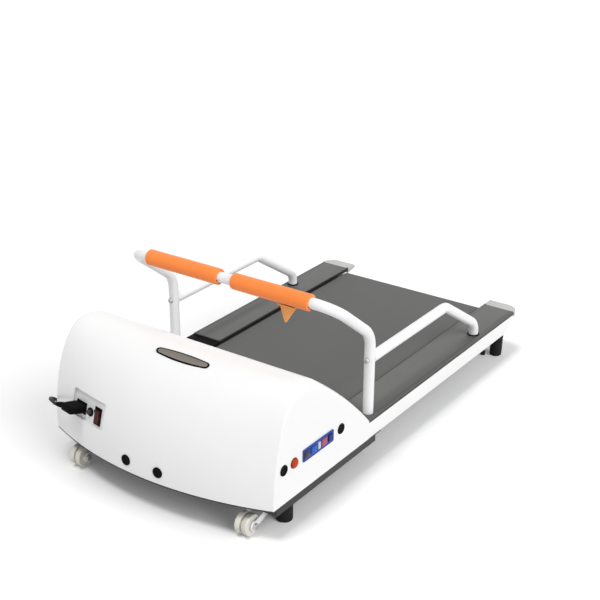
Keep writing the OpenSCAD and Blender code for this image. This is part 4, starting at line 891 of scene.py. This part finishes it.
# bare oval badge: a dark rimmed plate bent to the hood, with a satin field
badge = {
    "x": 18, "z": 288, "arcLength": 190, "endX": 56, "width": 23, "height": 2.6, "sunk": 0.3, "wall": 0.25,
    "rim": [(0.0, 0.0), (0.03, 0.9), (0.07, 1.0), (0.1, 0.9), (0.15, 0.62), (0.5, 0.62)],
    "field": 1.7, "fieldIn": 3.4, "fieldCrown": 0.35, "fieldWall": 0.4, "longStep": 0.01, "shortStep": 0.004,
}
badgeArc = (badge["arcLength"] ** 2 + badge["width"] ** 2) / (4 * badge["width"])


def badgeBow(along):  # half the width between the two long arcs
    return sqrt(badgeArc ** 2 - along ** 2) - badgeArc + badge["width"] / 2


badgeEnd = badgeBow(badge["endX"])  # radius of the round at each end


def badgeHalf(along):
    if abs(along) < badge["endX"]:
        return badgeBow(along)
    return sqrt(max(badgeEnd ** 2 - (abs(along) - badge["endX"]) ** 2, 0))


def badgeSpot(u, v, inset, lift):  # u along the badge and v across it, from -1 to 1
    reach = badge["endX"] + badgeEnd
    along = reach * sin(u * pi / 2)
    half = badgeHalf(along) * (1 - inset / (badge["width"] / 2))
    along *= 1 - inset / reach
    x = badge["x"] + along
    middle = asin((badge["z"] - hood["bottomZ"]) / hoodRise) / (pi / 2)
    stepLength = (hoodPoint(x, middle) - hoodPoint(x, middle - badge["longStep"])).length / badge["longStep"]
    s = middle + v * half / stepLength
    upward = hoodPoint(x, s + badge["shortStep"]) - hoodPoint(x, s - badge["shortStep"])
    outward = (hoodPoint(x + 1, s) - hoodPoint(x - 1, s)).cross(upward).normalized()
    return hoodPoint(x, s) + outward * lift


def rimLift(edge):  # the rim's rows are shares of the width, from the edge, and of the height there
    for (a, low), (b, high) in zip(badge["rim"], badge["rim"][1:]):
        if edge <= b:
            return (low + (high - low) * (edge - a) / (b - a)) * badge["height"]


def plateSpot(u, v):
    return badgeSpot(2 * u - 1, 2 * v - 1, 0, rimLift(min(v, 1 - v)) - badge["sunk"])


def fieldSpot(u, v):
    across = 2 * v - 1
    lift = badge["field"] + badge["fieldCrown"] * (1 - across * across)
    return badgeSpot(2 * u - 1, across, badge["fieldIn"], lift)


plate = griddedSheet("badgePlate", columns=48, rows=40, spot=plateSpot, thickness=badge["wall"])
finishPiece(plate, "chassis", "black_plastic", ["hood_badge"], degrees=50)
field = griddedSheet("badgeField", columns=48, rows=16, spot=fieldSpot, thickness=badge["fieldWall"])
finishPiece(field, "chassis", "alloy", degrees=50, material=badgeMetal)


# control panel: rimmed plate, dark display window and crowned keys
panel = {
    "front": -386, "rear": -284, "low": 132, "high": 158, "seat": 274.9, "face": 277, "corner": 3.2,
    "rim": 2.2, "rimSlope": 0.5, "sunk": 0.7, "display": (-382.5, -363.5, 135.5, 154.5), "lensLow": 0.35,
    "lensCorner": 1.6, "lensIn": 0.8, "lensCrown": 0.25, "keyHeight": 15, "keyGap": 0.4, "keyRoot": 272,
    "keyTop": 278.5, "keyCorner": 2.0, "crown": 0.7, "crownIn": 1.5, "keyEdge": 0.35, "holeSpare": 4,
    "keys": {"blue_key": (26, 19), "white_key": (49, 8), "red_key": (61, 18), "dark_key": (83, 14)},
}


def keyBlock(name, node, root, top, spare=0):  # over the key's place, and larger by spare all round
    start, width = panel["keys"][node]
    front = panel["front"] + start
    middle = (panel["low"] + panel["high"]) / 2
    half = panel["keyHeight"] / 2 + spare
    return squaredPlate(name, (root, front - spare, middle - half),
                        (top, front + width + spare, middle + half), panel["keyCorner"] + spare, segments=5)


def makePanel():
    seat, face = panel["seat"], panel["face"]
    plate = squaredPlate("panelPlate", (seat, panel["front"], panel["low"]),
                         (face, panel["rear"], panel["high"]), panel["corner"], segments=6)
    raiseFace(plate, panel["rim"], 0)
    raiseFace(plate, panel["rimSlope"], -panel["sunk"])
    holeRoot, holeTop = panel["keyRoot"] - panel["holeSpare"], panel["keyTop"] + panel["holeSpare"]
    for node in panel["keys"]:
        cutAway(plate, keyBlock("keyHole", node, holeRoot, holeTop, panel["keyGap"]))
    finishPiece(plate, "chassis", "panel_blue", ["control_panel"], degrees=25)
    front, rear, low, high = panel["display"]
    lens = squaredPlate("displayLens", (seat, front, low), (face - panel["lensLow"], rear, high),
                        panel["lensCorner"], segments=4)
    raiseFace(lens, panel["lensIn"], panel["lensCrown"])
    finishPiece(lens, "chassis", "black_plastic", degrees=25, material=displayGlass)


def makeKeys():
    for node in panel["keys"]:
        key = keyBlock(node + "Cap", node, panel["keyRoot"], panel["keyTop"] - panel["crown"])
        raiseFace(key, panel["crownIn"], panel["crown"])
        roundEdges(key, panel["keyEdge"], degrees=20)
        finishPiece(key, bodyOf[node], slotOf[node], [node], degrees=40)


makePanel()
makeKeys()


# stop button, a dome in a ring
stop = {
    "place": (275, -413, 145), "bore": 9.9, "boreX": (255, 290),
    "dome": [(9.7, -6), (9.7, 1.8), (9.4, 3.0), (8.6, 4.0), (7.0, 4.6), (4.5, 4.95), (1, 5)],
    "ring": [(10.9, -12), (10.9, 0.5), (10.6, 1.1), (10.2, 1.2)],
}
stopButton = turned("stopButtonCap", stop["dome"], stop["place"], (1, 0, 0))
finishPiece(stopButton, bodyOf["stop_button"], "stop_red", ["stop_button"], degrees=60)
stopRing = turned("stopRing", stop["ring"], stop["place"], (1, 0, 0))
boreEnds = [(x, *stop["place"][1:]) for x in stop["boreX"]]
cutAway(stopRing, addRod("stopBore", stop["bore"], *boreEnds))
finishPiece(stopRing, "chassis", "black_plastic", ["stop_housing"], degrees=40)
print("controls done")


# inlet surround: a short sleeve behind the hood's opening
surround = {"wall": 5, "start": 3.9, "end": 8.0}
reachX = hood["inletLength"] / 2 + surround["wall"]
reachZ = hood["inletHeight"] / 2 + surround["wall"]
sleeve = addBlock("inletSurround", (-reachX, surround["start"], -reachZ), (reachX, surround["end"], reachZ))
cutAway(sleeve, inletOpening())
moveToInlet(sleeve)
finishPiece(sleeve, "chassis", "white_shell")


# wheels: twin rims with a groove between them and a dished hub
wheel = {
    "x": 213, "y": -478, "z": 24, "bore": 4.1, "boreReach": 20, "sides": 64,
    "rings": [(6.5, -14), (9, -14), (9.6, -12.4), (16.5, -12.4), (17.4, -13.6), (20.8, -14), (22, -12.6),
              (22, -3.6), (21.2, -2.5), (16.2, -2.4), (16.2, 2.4), (21.2, 2.5), (22, 3.6), (22, 12.6),
              (20.8, 14), (17.4, 13.6), (16.5, 12.4), (9.6, 12.4), (9, 14), (6.5, 14)],
}
for side, sideName in bothSides[::-1]:
    hub = Vector((side * wheel["x"], wheel["y"], wheel["z"]))
    reach = Vector((wheel["boreReach"], 0, 0))
    twin = turned(sideName + "TwinWheel", wheel["rings"], hub, (1, 0, 0), wheel["sides"])
    cutAway(twin, addRod("wheelBore", wheel["bore"], hub - reach, hub + reach))
    finishPiece(twin, bodyOf[sideName + "_wheel"], "wheel_cream", [sideName + "_wheel"], degrees=40)


# rubber feet and the rail bolts
footPlan = {
    "front": {"x": 240, "y": -395, "rings": [
        (14.8, 0), (16.4, 1), (17, 3.2), (17, 27), (15.8, 28), (15.8, 30), (17, 31), (17, 40)]},
    "rear": {"x": 243, "y": 484, "rings": [
        (12.4, 0), (13.8, 1.2), (14.2, 4), (15.1, 40), (14.2, 41), (14.2, 44), (15.3, 45), (16, 72)]},
    "leveller": {"x": 219, "y": 464, "rings": [
        (4.8, 0), (6, 0.9), (6, 9), (3.8, 9.6), (3.8, 16), (5.6, 16), (5.6, 22), (3.8, 22), (3.8, 72)]},
}
boltPlan = {"gap": 0.2, "rings": [
    (3, -20), (3, 0), (6, 0), (6, 2.2), (5.4, 3.2), (4, 3.9), (2.4, 4), (2.2, 2.4), (0.5, 2.4)]}
feet, bolts = [], []
for foot in footPlan.values():
    for side in (-1, 1):
        feet.append(turned("foot", foot["rings"], (side * foot["x"], foot["y"], 0), (0, 0, 1)))
boltY = rails["uprightY"] - rails["tubeRadius"] - boltPlan["gap"]
for side in (-1, 1):
    place = (side * rails["uprightX"], boltY, rails["sideZ"])
    bolts.append(turned("railBolt", boltPlan["rings"], place, (0, -1, 0)))
finishPiece(joinAll("rubberFeet", feet), "chassis", "black_rubber", ["rubber_feet"], degrees=40)
finishPiece(joinAll("sideRailBolts", bolts), "chassis", "steel", ["handrail_bolts"], degrees=40)
print("running gear and bolts done")


# tether tab: a saddle under the right grip and a pointed flap that hangs from it
tab = {"x": 148, "width": 40, "drop": 55, "tipShift": 6, "tipWidth": 3, "gap": 0.3, "flapGap": 0.4,
       "thickness": 2.2, "curl": 2.0, "edgeCurl": 0.6, "edge": 0.4,
       "saddleHalf": 17, "saddleTurn": 40, "saddleGap": 1.5, "saddleWall": 1.4}
tabRadius = grip["radius"] + tab["gap"]


def flapSpot(u, v):
    width = tab["width"] * (1 - v) + tab["tipWidth"] * v
    middle = tab["x"] - tab["tipShift"] * v
    top, bottom = rails["barZ"] - tabRadius - tab["flapGap"], rails["barZ"] - tab["drop"]
    curl = tab["curl"] * sin(v * pi) * (1 - (2 * u - 1) ** 2 * tab["edgeCurl"])
    y = rails["barY"] + tab["thickness"] / 2 - curl
    return Vector((middle + width * (u - 0.5), y, top + (bottom - top) * v))


def saddleSpot(u, v):
    turn = radians(tab["saddleTurn"]) * (2 * v - 1)
    reach = tabRadius + tab["saddleGap"]
    x = tab["x"] + tab["saddleHalf"] * (2 * u - 1)
    return Vector((x, rails["barY"] + reach * sin(turn), rails["barZ"] - reach * cos(turn)))


flap = griddedSheet("tetherFlap", columns=14, rows=14, spot=flapSpot, thickness=tab["thickness"])
saddle = griddedSheet("tetherSaddle", columns=12, rows=16, spot=saddleSpot, thickness=tab["saddleWall"])
joinAll("tetherFlap", [flap, saddle])
roundEdges(flap, tab["edge"], segments=2, degrees=50)
finishPiece(flap, "chassis", "orange_strap", ["tether_tab"], degrees=45)


# floor, world and lamps
stage = {
    "floorSize": 60, "floorTone": 0.95, "bounceTone": 0.68, "floorLift": 0.03, "worldStrength": 0.5,
    "lamps": {
        "topLight": {"towards": (-0.05, -0.3, 1.0), "power": 1.12, "spread": 14},
        "rightLight": {"towards": (0.95, -0.1, 0.6), "power": 1.75, "spread": 45},
    },
}


def bySight(tree, bounced, seen):  # seen is for camera, mirror and see-through rays, bounced for the rest
    rays = tree.nodes.new("ShaderNodeLightPath").outputs
    nearly = maths(tree, "MAXIMUM", rays["Is Camera Ray"], rays["Is Glossy Ray"])
    direct = maths(tree, "MAXIMUM", nearly, rays["Is Transmission Ray"])
    return mapped(tree, direct, (0, 1), (bounced, seen))


bpy.ops.object.select_all(action="DESELECT")
bpy.ops.mesh.primitive_plane_add(size=stage["floorSize"], location=(0, 0, 0))
floor = bpy.context.object
floor.name = "studioFloor"
floorPaint, tree, shader, _ = startSurface("paleFloor", {
    "Roughness": 0.9, "Specular IOR Level": 0.0, "Emission Color": (1, 1, 1, 1)})
tree.links.new(bySight(tree, stage["bounceTone"], stage["floorTone"]), shader.inputs["Base Color"])
tree.links.new(bySight(tree, 0, stage["floorLift"]), shader.inputs["Emission Strength"])
paint(floor, floorPaint)

world = bpy.data.worlds.new("studioWorld")
scene.world = world
world.use_nodes = True
background = world.node_tree.nodes["Background"]
background.inputs["Color"].default_value = (1, 1, 1, 1)
glow = bySight(world.node_tree, stage["worldStrength"], 1.0)
world.node_tree.links.new(glow, background.inputs["Strength"])
for lampName, setup in stage["lamps"].items():
    lampData = bpy.data.lights.new(lampName, "SUN")
    lampData.energy = setup["power"]
    lampData.angle = radians(setup["spread"])
    lamp = bpy.data.objects.new(lampName, lampData)
    scene.collection.objects.link(lamp)
    lamp.rotation_euler = Vector(setup["towards"]).to_track_quat("Z", "Y").to_euler()
print("stage done")
